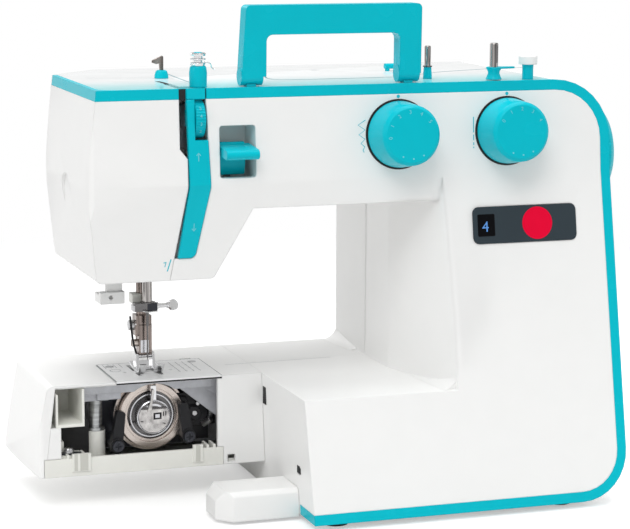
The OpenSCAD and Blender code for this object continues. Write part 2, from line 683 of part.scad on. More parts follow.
// Pivots of the two latches, from the middle of the hook, and the plane behind them
latch_places = [[-25.5, -16], [22, -13]];
latch_lean = 8;
latch_back = race_y - 3.5;
module race_ring() color("tan") difference() {
    rod_y(race_y, 31, needle_x, hook_z, race_r);
    rod_y(0, 31 + eps, needle_x, hook_z, hook_r + run_gap);
    rod_y(0, race_y + 1.5, needle_x, hook_z, hook_r + 1.8);
    box([needle_x - 2.6, 0, hook_z + 10], [needle_x + 2.6, race_y + 3, hook_z + race_r + 2]);
    // way for the needle behind the hook
    box([needle_x - 5, hook_back_y, hook_z + 8], [needle_x + 5, 32, hook_z + race_r + 2]);
}
hook_back_y = needle_y - 1.7;
module latch(k, lean) translate([needle_x + latch_places[k][0], 0, hook_z + latch_places[k][1]]) rotate([0, lean, 0])
    difference() {
        union() {
            along_y(latch_back - 5.7, latch_back) polygon(rounded(
                [[-4.2, -5.6], [4.2, -5.6], [2.9, latch_l], [-2.9, latch_l]], [3.6, 3.6, 2, 2], 5));
            rod_y(latch_back - 7.7, latch_back, 0, 0, 4.6);
        }
        rod_y(0, 40, 0, 0, 2 + run_gap);
    }
module latch_left() color("#26282c") latch(0, latch_lean);
module latch_right() color("#26282c") latch(1, -latch_lean);
module latch_screws() color("dimgray") for (p = latch_places)
    translate([needle_x + p[0], 0, hook_z + p[1]]) difference() {
        union() {
            rod_y(latch_back - 9.6, latch_back - 8, 0, 0, 3.6);
            rod_y(latch_back - 8.2, latch_back + 0.29, 0, 0, 2);
        }
        for (a = [0, 90]) rotate([0, a, 0]) translate([-2, latch_back - 10.6, -0.4]) cube([4, 2, 0.8]);
    }

// Hook, bobbin case and bobbin ---------------------------------------------------------------------

module shuttle_hook() color("darkgray") translate([needle_x, 0, hook_z]) {
    difference() {
        rod_y(race_y + 3.5, hook_back_y, 0, 0, hook_r);
        rod_y(0, hook_back_y - 2, 0, 0, case_r + pass_gap);
        // gap beside the point of the hook
        along_y(0, hook_back_y - 2) polygon([[-2, 2], [-18, -10], [-24, 0], [-24, 24], [0.6, 24], [0.6, 5]]);
    }
    rod_y(case_y + 5.4, 31, 0, 0, 2.6);
    rod_y(30, 78, 0, 0, hook_shaft_r);
    rod_y(70, 76, 0, 0, 9);
}
module bobbin_case() color("silver") translate([needle_x, 0, hook_z]) difference() {
    union() {
        rod_y(case_y, hook_back_y - 2.4, 0, 0, case_r);
        box([-1.8, case_y, 0], [1.8, case_y + 2.2, race_r - 0.6]);
    }
    rod_y(case_y + 1.2, 30, 0, 0, case_r - 0.9);
    rod_y(0, 30, 0, 0, 3.2);
    // window in the face and slit for the thread
    intersection() {
        rod_y(0, case_y + 2, 0, 0, case_r - 2.2);
        box([2.5, 0, -6], [9, 20, 1.5]);
    }
    rotate([0, 30, 0]) box([case_r - 2, case_y + 4.5, -0.4], [case_r + 1, 30, 0.4]);
}
module case_latch() color("gainsboro") translate([needle_x, 0, hook_z]) difference() {
    union() {
        box([-3.6, case_y - 1.7, -6.5], [3.6, case_y - 0.1, 6.2]);
        box([-1.6, case_y - 1.7, 6], [1.6, case_y - 0.1, race_r - 2]);
    }
    rod_y(0, 30, 0, 0, 2.8);
}
module bobbin() color("white") translate([needle_x, 0, hook_z]) difference() {
    union() {
        rod_y(case_y + 1.6, case_y + 2.8, 0, 0, case_r - 1.3);
        rod_y(hook_back_y - 3.9, hook_back_y - 2.7, 0, 0, case_r - 1.3);
        rod_y(case_y + 2, hook_back_y - 3, 0, 0, 4.2);
        color("darkcyan") rod_y(case_y + 2.8, hook_back_y - 3.9, 0, 0, 8);
    }
    rod_y(0, 30, 0, 0, 2.6 + run_gap + 0.1);
}
tooth_rows = [-8.6, -2.7, 5.3];
side_rows = [-8.6, 5.3];
module feed_dog() color("silver") {
    difference() {
        box([needle_x - 10, needle_y - 12, bed_z - 5.3], [needle_x + 10, needle_y + 19, bed_z - plate_t - 1]);
        box([needle_x - 5, needle_y - 8, 0], [needle_x + 5, needle_y + 3.4, big]);
    }
    // carrier bar that slides on the casting
    box([needle_x - 6, needle_y + 18.5, bed_z - 8.2], [needle_x + 6, 62, bed_z - 4.5]);
    for (x = tooth_rows, k = [0:9]) feed_tooth(needle_x + x, needle_y + 5.2 + k * 1.2);
    for (x = side_rows, k = [0:3]) feed_tooth(needle_x + x, needle_y - 11.4 + k * 1.2);
}
module feed_tooth(x, y) along_x(x, x + 1.8) polygon(
    [[y, bed_z - plate_t - 1.2], [y + 1.2, bed_z - plate_t - 1.2], [y + 1.2, bed_z - 0.4], [y + 0.9, bed_z + 0.1], [y, bed_z - 0.6]]);
module feed_post() color("silver") {
    rod_z(30, 70, post_x, 22, post_r);
    rod_z(46, 48, post_x, 22, post_r + 1.4);
}

// Needle bar and presser ---------------------------------------------------------------------------

module needle_bar() color("silver") rod_z(clamp_z + 3, trim_z - 4, needle_x, needle_y, needle_bar_r);
module needle_clamp() color("dimgray") difference() {
    union() {
        rod_z(clamp_z - 3, clamp_z + 3, needle_x, needle_y, 4.6);
        box([needle_x - 9, needle_y - 4, clamp_z - 2.8], [needle_x + 5.5, needle_y + 3, clamp_z + 2.6]);
    }
    box([needle_x - 10, needle_y - 1.5, clamp_z - 4.5], [needle_x - 7.6, needle_y + 1.5, clamp_z - 1]);
    rod_z(clamp_z - 5, clamp_z - 1, needle_x, needle_y, 1.05);
    rod_x(needle_x + 3, needle_x + 7, needle_y - 0.5, clamp_z, 1.5 + run_gap);
}
module clamp_screw() color("silver") {
    rod_x(needle_x + 3, needle_x + 14, needle_y - 0.5, clamp_z, 1.5);
    rod_x(needle_x + 5.7, needle_x + 7, needle_y - 0.5, clamp_z, 2.4);
    translate([needle_x + 17, needle_y - 0.5, clamp_z]) rotate([68, 0, 25]) cylinder(h = 2.4, r = 3.6, center = true, $fn = 40);
    rod_x(needle_x + 13, needle_x + 15.5, needle_y - 0.5, clamp_z, 2);
}
module needle() color("silver") {
    rod_z(clamp_z - 13, clamp_z - 1.2, needle_x, needle_y, 1);
    rod_z(clamp_z - 33, clamp_z - 13, needle_x, needle_y, 0.55);
    translate([needle_x, needle_y, clamp_z - 36]) cylinder(h = 3, r1 = 0.08, r2 = 0.55, $fn = 16);
}
module presser_bar() color("silver") rod_z(106, 240, presser_x, presser_y, presser_bar_r);
foot_pin_y = needle_y + 9;
foot_pin_z = bed_z + 9;
module presser_ankle() color("silver") difference() {
    union() {
        along_x(needle_x - 4.3, needle_x + 4.3) polygon(rounded(
            [[foot_pin_y - 4, foot_pin_z + 1.2], [foot_pin_y - 4, 112], [presser_y + 4.6, 117], [presser_y + 4.6, 105],
             [foot_pin_y + 5, 99], [foot_pin_y + 4, foot_pin_z + 1.2]], [1, 3, 1, 2, 3, 1], 4));
        box([needle_x - 6, foot_pin_y - 3.8, 104.2], [needle_x + 4.2, presser_y + 4.4, 116.8]);
    }
    rod_z(100, 120, presser_x, presser_y, presser_bar_r + 0.02);
    rod_x(needle_x - 5, needle_x + 5, foot_pin_y, foot_pin_z, 1.5 + run_gap);
    rod_x(needle_x - 10, needle_x, presser_y - 1, 110, 1.55);
}
module ankle_screw() color("silver") {
    rod_x(needle_x - 10, needle_x - 6, presser_y - 1, 110, 3.4);
    rod_x(needle_x - 6.1, presser_x - presser_bar_r - 0.1, presser_y - 1, 110, 1.5);
}
// Zigzag foot: a sole with turned-up toes, two cheeks and the pin that the ankle snaps on
module presser_foot() color("silver") difference() {
    union() {
        along_x(needle_x - 8.3, needle_x + 8.3) polygon(rounded(
            [[needle_y - 12, bed_z + 7], [needle_y - 7.5, bed_z + 0.6], [needle_y + 8, bed_z + 0.6], [needle_y + 17.4, bed_z + 3],
             [needle_y + 17, bed_z + 4.4], [needle_y + 12.6, bed_z + 3], [needle_y + 8, bed_z + 2.2], [needle_y - 6.5, bed_z + 2.2],
             [needle_y - 11, bed_z + 7.6]],
            [0.2, 5, 4, 0.3, 0.3, 2, 2, 4, 0.2], 4));
        for (s = [-1, 1]) along_x(needle_x + s * 5.4 - 0.9, needle_x + s * 5.4 + 0.9) polygon(rounded(
            [[foot_pin_y - 5, bed_z + 1], [foot_pin_y - 3, foot_pin_z + 2.6], [foot_pin_y + 3, foot_pin_z + 2.6],
             [foot_pin_y + 5, bed_z + 2.6]], [0, 2.5, 2.5, 0], 4));
        rod_x(needle_x - 5, needle_x + 5, foot_pin_y, foot_pin_z, 1.5);
    }
    box([needle_x - 3.6, needle_y - 20, 0], [needle_x + 3.6, needle_y + 2.9, big]);
}
module presser_lifter() color("ivory") {
    rod_y(53, 60, lifter_x, lifter_z, 5.5);
    rod_y(46, 54, lifter_x, lifter_z, 2.5);
    along_y(53.5, 59.5) translate([lifter_x, lifter_z]) polygon(rounded([[-4, 0], [0, 5], [5, 5], [20, -2], [20, -7], [0, -5]],
        [0, 0, 2, 2, 2, 0], 4));
}
lifter_x = needle_x + 8;
lifter_z = head_low_z - 7;
module buttonhole_lever() color("white") difference() {
    union() {
        box([-139, 22, 132], [-128, 24.4, 200]);
        box([-143, 20, 128], [-127, 25, 136]);
        box([-143, 20, 128], [-140, 36, 134]);
    }
    rod_y(10, 23.5, -136, 132.4, 1.3);
}
module lamp() color("lightyellow") {
    box([-124, 52, 170], [-113, 60, 182]);
    translate([-118.5, 56, 169]) sphere(r = 4.4, $fn = 24);
}

// Drive --------------------------------------------------------------------------------------------

module upper_shaft() color("silver") {
    rod_x(needle_x + 8, wheel_x - 6, shaft_y, shaft_z, shaft_r);
    // crank disc of the needle bar
    rod_x(-82, -73, shaft_y, shaft_z, 12);
    rod_x(-92, -82, shaft_y, shaft_z + 8, 2.5);
}
module hand_wheel() color("darkturquoise") difference() {
    translate([0, shaft_y, shaft_z]) rotate([0, 90, 0]) rotate_extrude($fn = 96) polygon(rounded(
        [[shaft_r + 0.02, wheel_in + 2], [wheel_r - 7, wheel_in], [wheel_r - 1, wheel_in + 2],
         [wheel_r, wheel_x - 5], [wheel_r - 5, wheel_x], [wheel_r - 13, wheel_x], [wheel_r - 16, wheel_x - 4],
         [8, wheel_x - 4], [7, wheel_x - 1], [shaft_r + 0.02, wheel_x - 1]],
        [0, 2, 2, 3, 3, 2, 2, 1, 1, 0], 4));
    for (a = [0:15:345]) translate([wheel_x - 9, shaft_y, shaft_z]) rotate([a, 0, 0])
        translate([0, 0, wheel_r + 1.2]) rotate([0, 90, 0]) cylinder(h = 14, r = 2, center = true, $fn = 24);
}
module belt_wheel() color("dimgray") difference() {
    rod_x(140, 152, shaft_y, shaft_z, belt_wheel_r);
    rod_x(130, 160, shaft_y, shaft_z, shaft_r + 0.02);
    difference() {
        rod_x(142, 150, shaft_y, shaft_z, belt_wheel_r + 1);
        rod_x(141, 151, shaft_y, shaft_z, belt_wheel_r - 1.2);
    }
}
motor_y = 8;
motor_z = 60;
motor_angle = atan2(motor_y - shaft_y, shaft_z - motor_z);
module belt_loop(w) hull() {
    translate([shaft_y, shaft_z]) circle(r = belt_wheel_r + w, $fn = 72);
    translate([motor_y, motor_z]) circle(r = pulley_r + w, $fn = 48);
}
module drive_belt() color("black") along_x(142.6, 149.4) difference() {
    belt_loop(1.4);
    belt_loop(-0.9);
}
module motor() color("silver") difference() {
    union() {
        rod_x(66, 132, motor_y, motor_z, 25);
        rod_x(132, 136, motor_y, motor_z, 8);
        box([70, motor_y - 14, 20], [128, motor_y + 14, 40]);
    }
    rod_x(60, 150, motor_y, motor_z, 3 + run_gap);
}
module motor_pulley() color("gray") {
    rod_x(70, 141, motor_y, motor_z, 3);
    difference() {
        rod_x(140, 152, motor_y, motor_z, pulley_r);
        difference() {
            rod_x(142, 150, motor_y, motor_z, pulley_r + 1);
            rod_x(141, 151, motor_y, motor_z, pulley_r - 1.2);
        }
    }
}
take_y = -8;
take_z = trim_z - 28;
module take_up_lever() color("silver") difference() {
    union() {
        rod_x(-118, -98, take_y, take_z, 3);
        along_x(take_x0 + 1.4, take_x0 + 3.4) polygon(rounded(
            [[take_y + 5, take_z - 6], [take_y + 6, take_z + 5], [take_y - 26, take_z + 30], [take_y - 36, take_z + 31],
             [take_y - 37, take_z + 25], [take_y - 30, take_z + 22], [take_y - 6, take_z - 4]],
            [3, 4, 3, 2, 2, 4, 3], 4));
    }
    rod_x(-130, -90, take_y - 33.5, take_z + 27.6, 1.1);
}

// Controls -----------------------------------------------------------------------------------------

module dial(x) translate([x, front_y(dial_z), dial_z]) rotate([90 + panel_tilt, 0, 0]) {
    rotate_extrude($fn = 96) polygon(rounded(
        [[0, 0.4], [dial_r - 0.6, 0.4], [dial_r, 1], [dial_r, 2.5], [dial_r - 2, dial_l - 2],
         [dial_r - 4, dial_l], [0, dial_l]], [0, 0, 0.4, 1, 2, 0.6, 0], 4));
    translate([0, 0, -22]) cylinder(h = 23, r = dial_shaft_r, $fn = 48);
}
module width_dial() color("darkturquoise") dial(dial_1_x);
module length_dial() color("darkturquoise") dial(dial_2_x);
module tension_dial() color("darkturquoise") translate([tension_x, tension_y, tension_z]) rotate([0, 90, 0]) {
    difference() {
        cylinder(h = tension_w, r = tension_r, center = true, $fn = 96);
        for (a = [0:9:351]) rotate(a) translate([tension_r + 0.3, 0, 0]) cylinder(h = tension_w + 1, r = 0.7, center = true, $fn = 13);
    }
    translate([0, 0, -tension_w / 2 - 3]) cylinder(h = tension_w, r = tension_axle, $fn = 32);
}
lever_y = recess_back + 7;
lever_z = recess_z + 11;
lever_pin_r = 2;
module reverse_lever() color("darkturquoise") {
    // curved shield centred on the pin, so it keeps its gap as it turns
    intersection() {
        difference() {
            rod_x(recess_x0 + 0.8, recess_x0 + 18.6, lever_y, lever_z, lever_r);
            rod_x(recess_x0, recess_x0 + 20, lever_y, lever_z, lever_r - 3);
        }
        box([recess_x0, -big, lever_z - 10], [recess_x0 + 20, recess_back - 1, lever_z + 10]);
    }
    along_x(recess_x0 + 1.2, recess_x0 + 22) polygon(rounded(
        [[lever_y - lever_r + 4, lever_z + 9], [lever_y - lever_r + 4, lever_z + 3.4], [crease_y - 8, lever_z + 1], [crease_y - 11, lever_z + 3],
         [crease_y - 10, lever_z + 7]], [0, 0, 2, 2, 3], 4));
    box([recess_x0 + 9.5, lever_y - 20, lever_z - 3], [recess_x0 + 13.5, lever_y + 5, lever_z + 3]);
    rod_x(recess_x0 + 3.2, recess_x0 + 19.8, lever_y, lever_z, lever_pin_r);
}
// The panel's outline between out in front of the body and deep into it, widened by gap
module panel_form(gap, out, deep) intersection() {
    along_y(-big, 0) slab(77.5 - gap, 149 + gap, 170.5 - gap, 193.5 + gap, 4);
    along_x(0, big) polygon([[front_y(200) - out, 200], [front_y(160) - out, 160], [front_y(160) + deep, 160], [front_y(200) + deep, 200]]);
}
module stitch_panel() color("#39434d") panel_form(0, 0.6, 0.85);

// Handle and top fittings --------------------------------------------------------------------------

module carry_handle() color("darkturquoise") difference() {
    union() {
        intersection() {
            along_y(handle_y - handle_t / 2, handle_y + handle_t / 2) difference() {
                polygon(rounded([[handle_x0, body_h], [handle_x1, body_h], [handle_x1 + 0.5, handle_top], [handle_x0 + 3, handle_top]],
                    [0, 0, 3, 3], 4));
                polygon(rounded([[handle_x0 + handle_leg, 0], [handle_x1 - handle_leg - 1, 0],
                    [handle_x1 - handle_leg, handle_top - handle_grip], [handle_x0 + handle_leg + 2, handle_top - handle_grip]],
                    [0, 0, 4, 4], 4));
            }
            box([-big, -big, handle_pin_z], [big, big, big]);
        }
        for (x = [handle_x0, handle_x1 - handle_leg - 0.6])
            rod_x(x + 0.1, x + handle_leg, handle_y, handle_pin_z, handle_t / 2);
    }
    for (x = handle_lugs) {
        box([x - handle_lug_w / 2 - pass_gap, handle_y - handle_t / 2 + 2, body_h - 1], [x + handle_lug_w / 2 + pass_gap, big, handle_pin_z + 6]);
        rod_x(x - 6, x + 6, handle_y, handle_pin_z, handle_pin_r + run_gap);
    }
}
handle_lugs = [handle_x0 + handle_leg / 2, handle_x1 - handle_leg / 2 - 0.5];
module handle_pins() color("silver") for (x = handle_lugs) {
    rod_x(x - 5.8, x + 5.8, handle_y, handle_pin_z, handle_pin_r);
    along_x(x - handle_lug_w / 2, x + handle_lug_w / 2) polygon(rounded(
        [[handle_y - 3.2, body_h], [handle_y + 3.2, body_h], [handle_y + 3.2, handle_pin_z + 3.2], [handle_y - 3.2, handle_pin_z + 3.2]],
        [0, 0, 3, 3], 4));
}
module spool_pin() color("silver") {
    rod_z(body_h + 8, body_h + 8 + spool_l, spool_x, -30.5, spool_r);
    color("darkturquoise") difference() {
        translate([spool_x, -30.5, body_h]) cylinder(h = 9, r1 = 2.8, r2 = 2.3, $fn = 32);
        rod_z(body_h + 7.9, body_h + 10, spool_x, -30.5, spool_r);
    }
}
module spool_guide() color("darkturquoise") {
    rod_x(spool_x - 5, spool_x + 5, 34, body_h + 3.2, 1.8);
    rod_z(body_h, body_h + 3.2, spool_x - 3, 34, 1.5);
    rod_z(body_h, body_h + 3.2, spool_x + 3, 34, 1.5);
}
module winder_spindle() color("silver") {
    rod_z(body_h + 0.5, body_h + 23.5, winder_x + 4, -51, winder_r);
    rod_z(body_h + 7, body_h + 8.6, winder_x + 4, -51, 6.2);
    // tab that tips the winder over
    translate([winder_x + 4, -51, body_h + 7.2]) linear_extrude(1.2) polygon([[2, -4], [14, -1.2], [14, 1.2], [2, 4]]);
    translate([winder_x + 4, -51, body_h + 0.5]) cylinder(h = 6.6, r1 = 5, r2 = 3.4, $fn = 32);
}
module winder_stop() color("white") {
    rod_z(body_h, body_h + 9.5, stop_x + 3, -50, 3.3);
    rod_z(body_h + 9.5, body_h + 15, stop_x + 3, -50, 6);
}
module thread_post() color("darkturquoise") {
    translate([-97.5, -50, body_h]) cylinder(h = 13, r1 = 5.4, r2 = 5, $fn = 40);
    color("silver") {
        rod_z(body_h + 12.9, body_h + 15.5, -97.5, -50, 4.2);
        rod_z(body_h + 15.5, body_h + 16.5, -97.5, -50, 5);
        rod_z(body_h + 16.5, body_h + 19, -97.5, -50, 2.6);
        rod_z(body_h + 19, body_h + 21, -97.5, -50, 4.6);
    }
}
module thread_hook() color("rosybrown") {
    color("darkturquoise") translate([-102, 19, body_h]) cylinder(h = 5, r1 = 4.5, r2 = 3.4, $fn = 32);
    rod_z(body_h + 4.9, body_h + 11, -102, 19, 1);
    translate([-102, 19, body_h + 11]) rotate([0, -70, 20]) cylinder(h = 7, r = 1, center = true, $fn = 24);
}
inlet_y0 = 46;
inlet_l = 44;
inlet_z0 = 42;
inlet_h = 28;
rocker_y = inlet_y0 + 10;
inlet_mid_z = inlet_z0 + inlet_h / 2;
inlet_x = right_low_x + 0.3;
module power_inlet() color("#202124") {
    difference() {
        box([inlet_x - 15, inlet_y0 + 0.1, inlet_z0 + 0.1], [inlet_x, inlet_y0 + inlet_l - 0.1, inlet_z0 + inlet_h - 0.1]);
        box([inlet_x - 12, inlet_y0 + 20, inlet_mid_z - 8], [big, inlet_y0 + 40, inlet_mid_z + 8]);
        box([inlet_x - 12, rocker_y - 6, inlet_mid_z - 10], [big, rocker_y + 6, inlet_mid_z + 10]);
        rod_y(rocker_y - 8, rocker_y + 8, inlet_x - 5, inlet_mid_z, 1.5 + run_gap);
    }
    for (y = [26, 34]) rod_x(inlet_x - 13, inlet_x - 3, inlet_y0 + y, inlet_mid_z, 1.2);
}
module power_switch() color("#202124") {
    along_y(rocker_y - 5.6, rocker_y + 5.6) polygon([[inlet_x - 7.5, inlet_mid_z - 5], [inlet_x + 1.6, inlet_mid_z - 8.6],
        [inlet_x - 0.4, inlet_mid_z], [inlet_x + 1.6, inlet_mid_z + 8.6], [inlet_x - 7.5, inlet_mid_z + 5]]);
    rod_y(rocker_y - 7.8, rocker_y + 7.8, inlet_x - 5, inlet_mid_z, 1.5);
}

front_cover();
rear_cover();
top_cover();
trim_ring();
face_cover();
face_hinge_pin();
thread_cover();
free_arm_shell();
arm_tray();
base_plate();
support_foot();
rubber_feet();
needle_plate();
plate_screws();
frame_casting();
arm_casting();
race_base();
race_ring();
latch_left();
latch_right();
latch_screws();
shuttle_hook();
bobbin_case();
case_latch();
bobbin();
feed_dog();
feed_post();
needle_bar();
needle_clamp();
clamp_screw();
needle();
presser_bar();
presser_ankle();
ankle_screw();
presser_foot();
presser_lifter();
buttonhole_lever();
lamp();
upper_shaft();
hand_wheel();
belt_wheel();
drive_belt();
motor();
motor_pulley();
take_up_lever();
width_dial();
length_dial();
tension_dial();
reverse_lever();
stitch_panel();
carry_handle();
handle_pins();
spool_pin();
spool_guide();
winder_spindle();
winder_stop();
thread_post();
thread_hook();
power_inlet();
power_switch();
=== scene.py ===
import json
import math

import bmesh
import bpy
from mathutils import Matrix, Vector

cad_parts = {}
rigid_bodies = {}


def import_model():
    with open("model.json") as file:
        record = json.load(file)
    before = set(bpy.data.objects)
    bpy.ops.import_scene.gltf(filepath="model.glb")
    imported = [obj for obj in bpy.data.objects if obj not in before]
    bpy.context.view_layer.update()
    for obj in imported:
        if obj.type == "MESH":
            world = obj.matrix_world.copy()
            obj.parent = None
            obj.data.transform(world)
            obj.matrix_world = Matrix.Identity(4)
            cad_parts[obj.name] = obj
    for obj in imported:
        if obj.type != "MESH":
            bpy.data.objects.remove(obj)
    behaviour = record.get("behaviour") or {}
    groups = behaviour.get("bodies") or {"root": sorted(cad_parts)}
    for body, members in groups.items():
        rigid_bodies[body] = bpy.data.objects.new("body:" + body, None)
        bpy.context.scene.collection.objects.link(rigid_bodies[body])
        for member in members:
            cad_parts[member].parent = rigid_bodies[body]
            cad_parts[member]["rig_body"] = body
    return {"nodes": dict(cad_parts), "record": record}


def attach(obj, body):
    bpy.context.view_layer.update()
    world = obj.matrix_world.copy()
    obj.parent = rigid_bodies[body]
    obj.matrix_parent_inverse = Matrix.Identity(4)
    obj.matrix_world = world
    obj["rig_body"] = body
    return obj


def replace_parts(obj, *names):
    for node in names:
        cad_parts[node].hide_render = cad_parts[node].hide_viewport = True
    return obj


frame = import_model()
nodes = frame["nodes"]
bodyOf = {name: node["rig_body"] for name, node in nodes.items()}
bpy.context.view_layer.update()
mm = 0.001
print("frame loaded:", len(nodes), "nodes")

cameraSet = {
    "place": (-475.0, -1372.85, 393.94),   # millimetres, like all places below
    "azimuth": 18.908, "down": 9.517, "roll": 0.2653,   # degrees
    "focal": 2262.7, "frameWidth": 630,   # pixels
    "sensor": 36, "clip": (0.05, 50),
}


def addCamera(s):
    az, el, roll = (math.radians(s[k]) for k in ("azimuth", "down", "roll"))
    ahead = Vector((math.sin(az) * math.cos(el), math.cos(az) * math.cos(el), -math.sin(el)))
    right = Vector((math.cos(az), -math.sin(az), 0))
    up = right.cross(ahead)
    side = right * math.cos(roll) + up * math.sin(roll)
    top = up * math.cos(roll) - right * math.sin(roll)
    data = bpy.data.cameras.new("camera")
    data.sensor_width = s["sensor"]
    data.lens = s["focal"] * data.sensor_width / s["frameWidth"]
    data.clip_start, data.clip_end = s["clip"]
    cam = bpy.data.objects.new("camera", data)
    turn = Matrix((side, top, -ahead)).transposed().to_4x4()
    cam.matrix_world = Matrix.Translation(Vector(s["place"]) * mm) @ turn
    bpy.context.scene.collection.objects.link(cam)
    bpy.context.scene.camera = cam


addCamera(cameraSet)

lightSet = {
    "world": 0.56,
    # name, place (m), size (m), power (W), aim (m)
    "lamps": [
        ("keyLight", (-1.3, -2.3, 3.0), 1.9, 54, (0, 0, 0.15)),
        ("fillLight", (2.4, -1.6, 1.5), 1.8, 6, (0, 0, 0.15)),
        ("sideLight", (-2.6, -0.5, 1.1), 1.3, 8, (0, 0, 0.1)),
        ("topLight", (0.2, 0.4, 3.0), 2.4, 58, (0, 0, 0.2)),
        ("backLight", (-0.8, 2.6, 1.8), 1.8, 12, (0, 0, 0.15)),
    ],
}


def addLights(s):
    world = bpy.data.worlds.new("studio")
    bpy.context.scene.world = world
    world.use_nodes = True
    back = world.node_tree.nodes["Background"]
    back.inputs["Color"].default_value = (1, 1, 1, 1)
    back.inputs["Strength"].default_value = s["world"]
    for name, place, size, power, aim in s["lamps"]:
        data = bpy.data.lights.new(name, "AREA")
        data.size = size
        data.energy = power
        lamp = bpy.data.objects.new(name, data)
        lamp.location = place
        lamp.rotation_euler = (Vector(aim) - Vector(place)).to_track_quat("-Z", "Y").to_euler()
        bpy.context.scene.collection.objects.link(lamp)


addLights(lightSet)
bpy.context.scene.view_settings.view_transform = "Standard"


def newNode(tree, kind, inputs=None, **settings):
    # a shader node with its own settings and the values of its inputs
    node = tree.nodes.new("ShaderNode" + kind)
    for key, value in settings.items():
        setattr(node, key, value)
    for key, value in (inputs or {}).items():
        node.inputs[key].default_value = value
    return node


def softRamp(tree, start, end):
    return newNode(tree, "MapRange", {"From Min": start, "From Max": end}, interpolation_type="SMOOTHSTEP")


floorSet = {
    "half": 30.0, "clear": 0.35, "white": 1.1,   # metres; the shadow fades between clear and white
    "grey": 0.74, "rough": 0.75, "glow": 0.42, "spill": 0.5,
}


def addFloor(s):
    bm = bmesh.new()
    bmesh.ops.create_grid(bm, x_segments=1, y_segments=1, size=s["half"])
    mesh = bpy.data.meshes.new("floor")
    bm.to_mesh(mesh)
    bm.free()
    floor = bpy.data.objects.new("floor", mesh)
    bpy.context.scene.collection.objects.link(floor)
    mat = bpy.data.materials.new("paleFloor")
    mat.use_nodes = True
    tree = mat.node_tree
    join = tree.links.new
    shader = tree.nodes["Principled BSDF"]
    shader.inputs["Base Color"].default_value = (s["grey"], s["grey"], s["grey"], 1)
    shader.inputs["Roughness"].default_value = s["rough"]
    # grey paper with a glow near the machine, plain white further out
    glow = newNode(tree, "Emission")
    near = newNode(tree, "AddShader")
    join(shader.outputs[0], near.inputs[0])
    join(glow.outputs[0], near.inputs[1])
    far = newNode(tree, "Emission")
    place = newNode(tree, "TexCoord")
    reach = newNode(tree, "VectorMath", operation="LENGTH")
    join(place.outputs["Object"], reach.inputs[0])
    fade = softRamp(tree, s["clear"], s["white"])
    join(reach.outputs["Value"], fade.inputs["Value"])
    mix = newNode(tree, "MixShader")
    join(fade.outputs[0], mix.inputs["Fac"])
    join(near.outputs[0], mix.inputs[1])
    join(far.outputs[0], mix.inputs[2])
    join(mix.outputs[0], tree.nodes["Material Output"].inputs["Surface"])
    # seen directly or in a reflection the paper is white; it throws less light than that
    ray = newNode(tree, "LightPath")
    nearGlow = newNode(tree, "MapRange", {"To Max": s["glow"]})
    join(ray.outputs["Is Camera Ray"], nearGlow.inputs["Value"])
    join(nearGlow.outputs[0], glow.inputs["Strength"])
    seen = newNode(tree, "Math", operation="MAXIMUM")
    join(ray.outputs["Is Camera Ray"], seen.inputs[0])
    join(ray.outputs["Is Glossy Ray"], seen.inputs[1])
    farGlow = newNode(tree, "MapRange", {"To Min": s["spill"]})
    join(seen.outputs[0], farGlow.inputs["Value"])
    join(farGlow.outputs[0], far.inputs["Strength"])
    mesh.materials.append(mat)


addFloor(floorSet)
print("camera, lights and floor placed")

finishSet = {
    "coatRough": 0.08, "cloudDetail": 3, "rampEnds": (0.3, 0.7), "leastRough": 0.02,
    "grainDetail": 2, "grainDepth": 0.0005, "edgeSamples": 4, "wideSamples": 16,
}


def fadeAlong(tree, place, axis, start, end):
    # 0 to 1 between two places along one axis of the object
    split = newNode(tree, "SeparateXYZ")
    ramp = softRamp(tree, start * mm, end * mm)
    tree.links.new(place.outputs["Object"], split.inputs[0])
    tree.links.new(split.outputs[axis], ramp.inputs["Value"])
    return ramp.outputs[0]


def wideEdges(tree, place, edge, wide):
    # the radius of the rounding grows inside a box whose sides fade out
    mask = None
    for axis, start, end in wide["fades"]:
        part = fadeAlong(tree, place, axis, start, end)
        if mask:
            both = newNode(tree, "Math", operation="MULTIPLY")
            tree.links.new(mask, both.inputs[0])
            tree.links.new(part, both.inputs[1])
            part = both.outputs[0]
        mask = part
    grow = newNode(tree, "MapRange", {"To Min": edge, "To Max": wide["radius"]})
    tree.links.new(mask, grow.inputs["Value"])
    return grow.outputs[0]


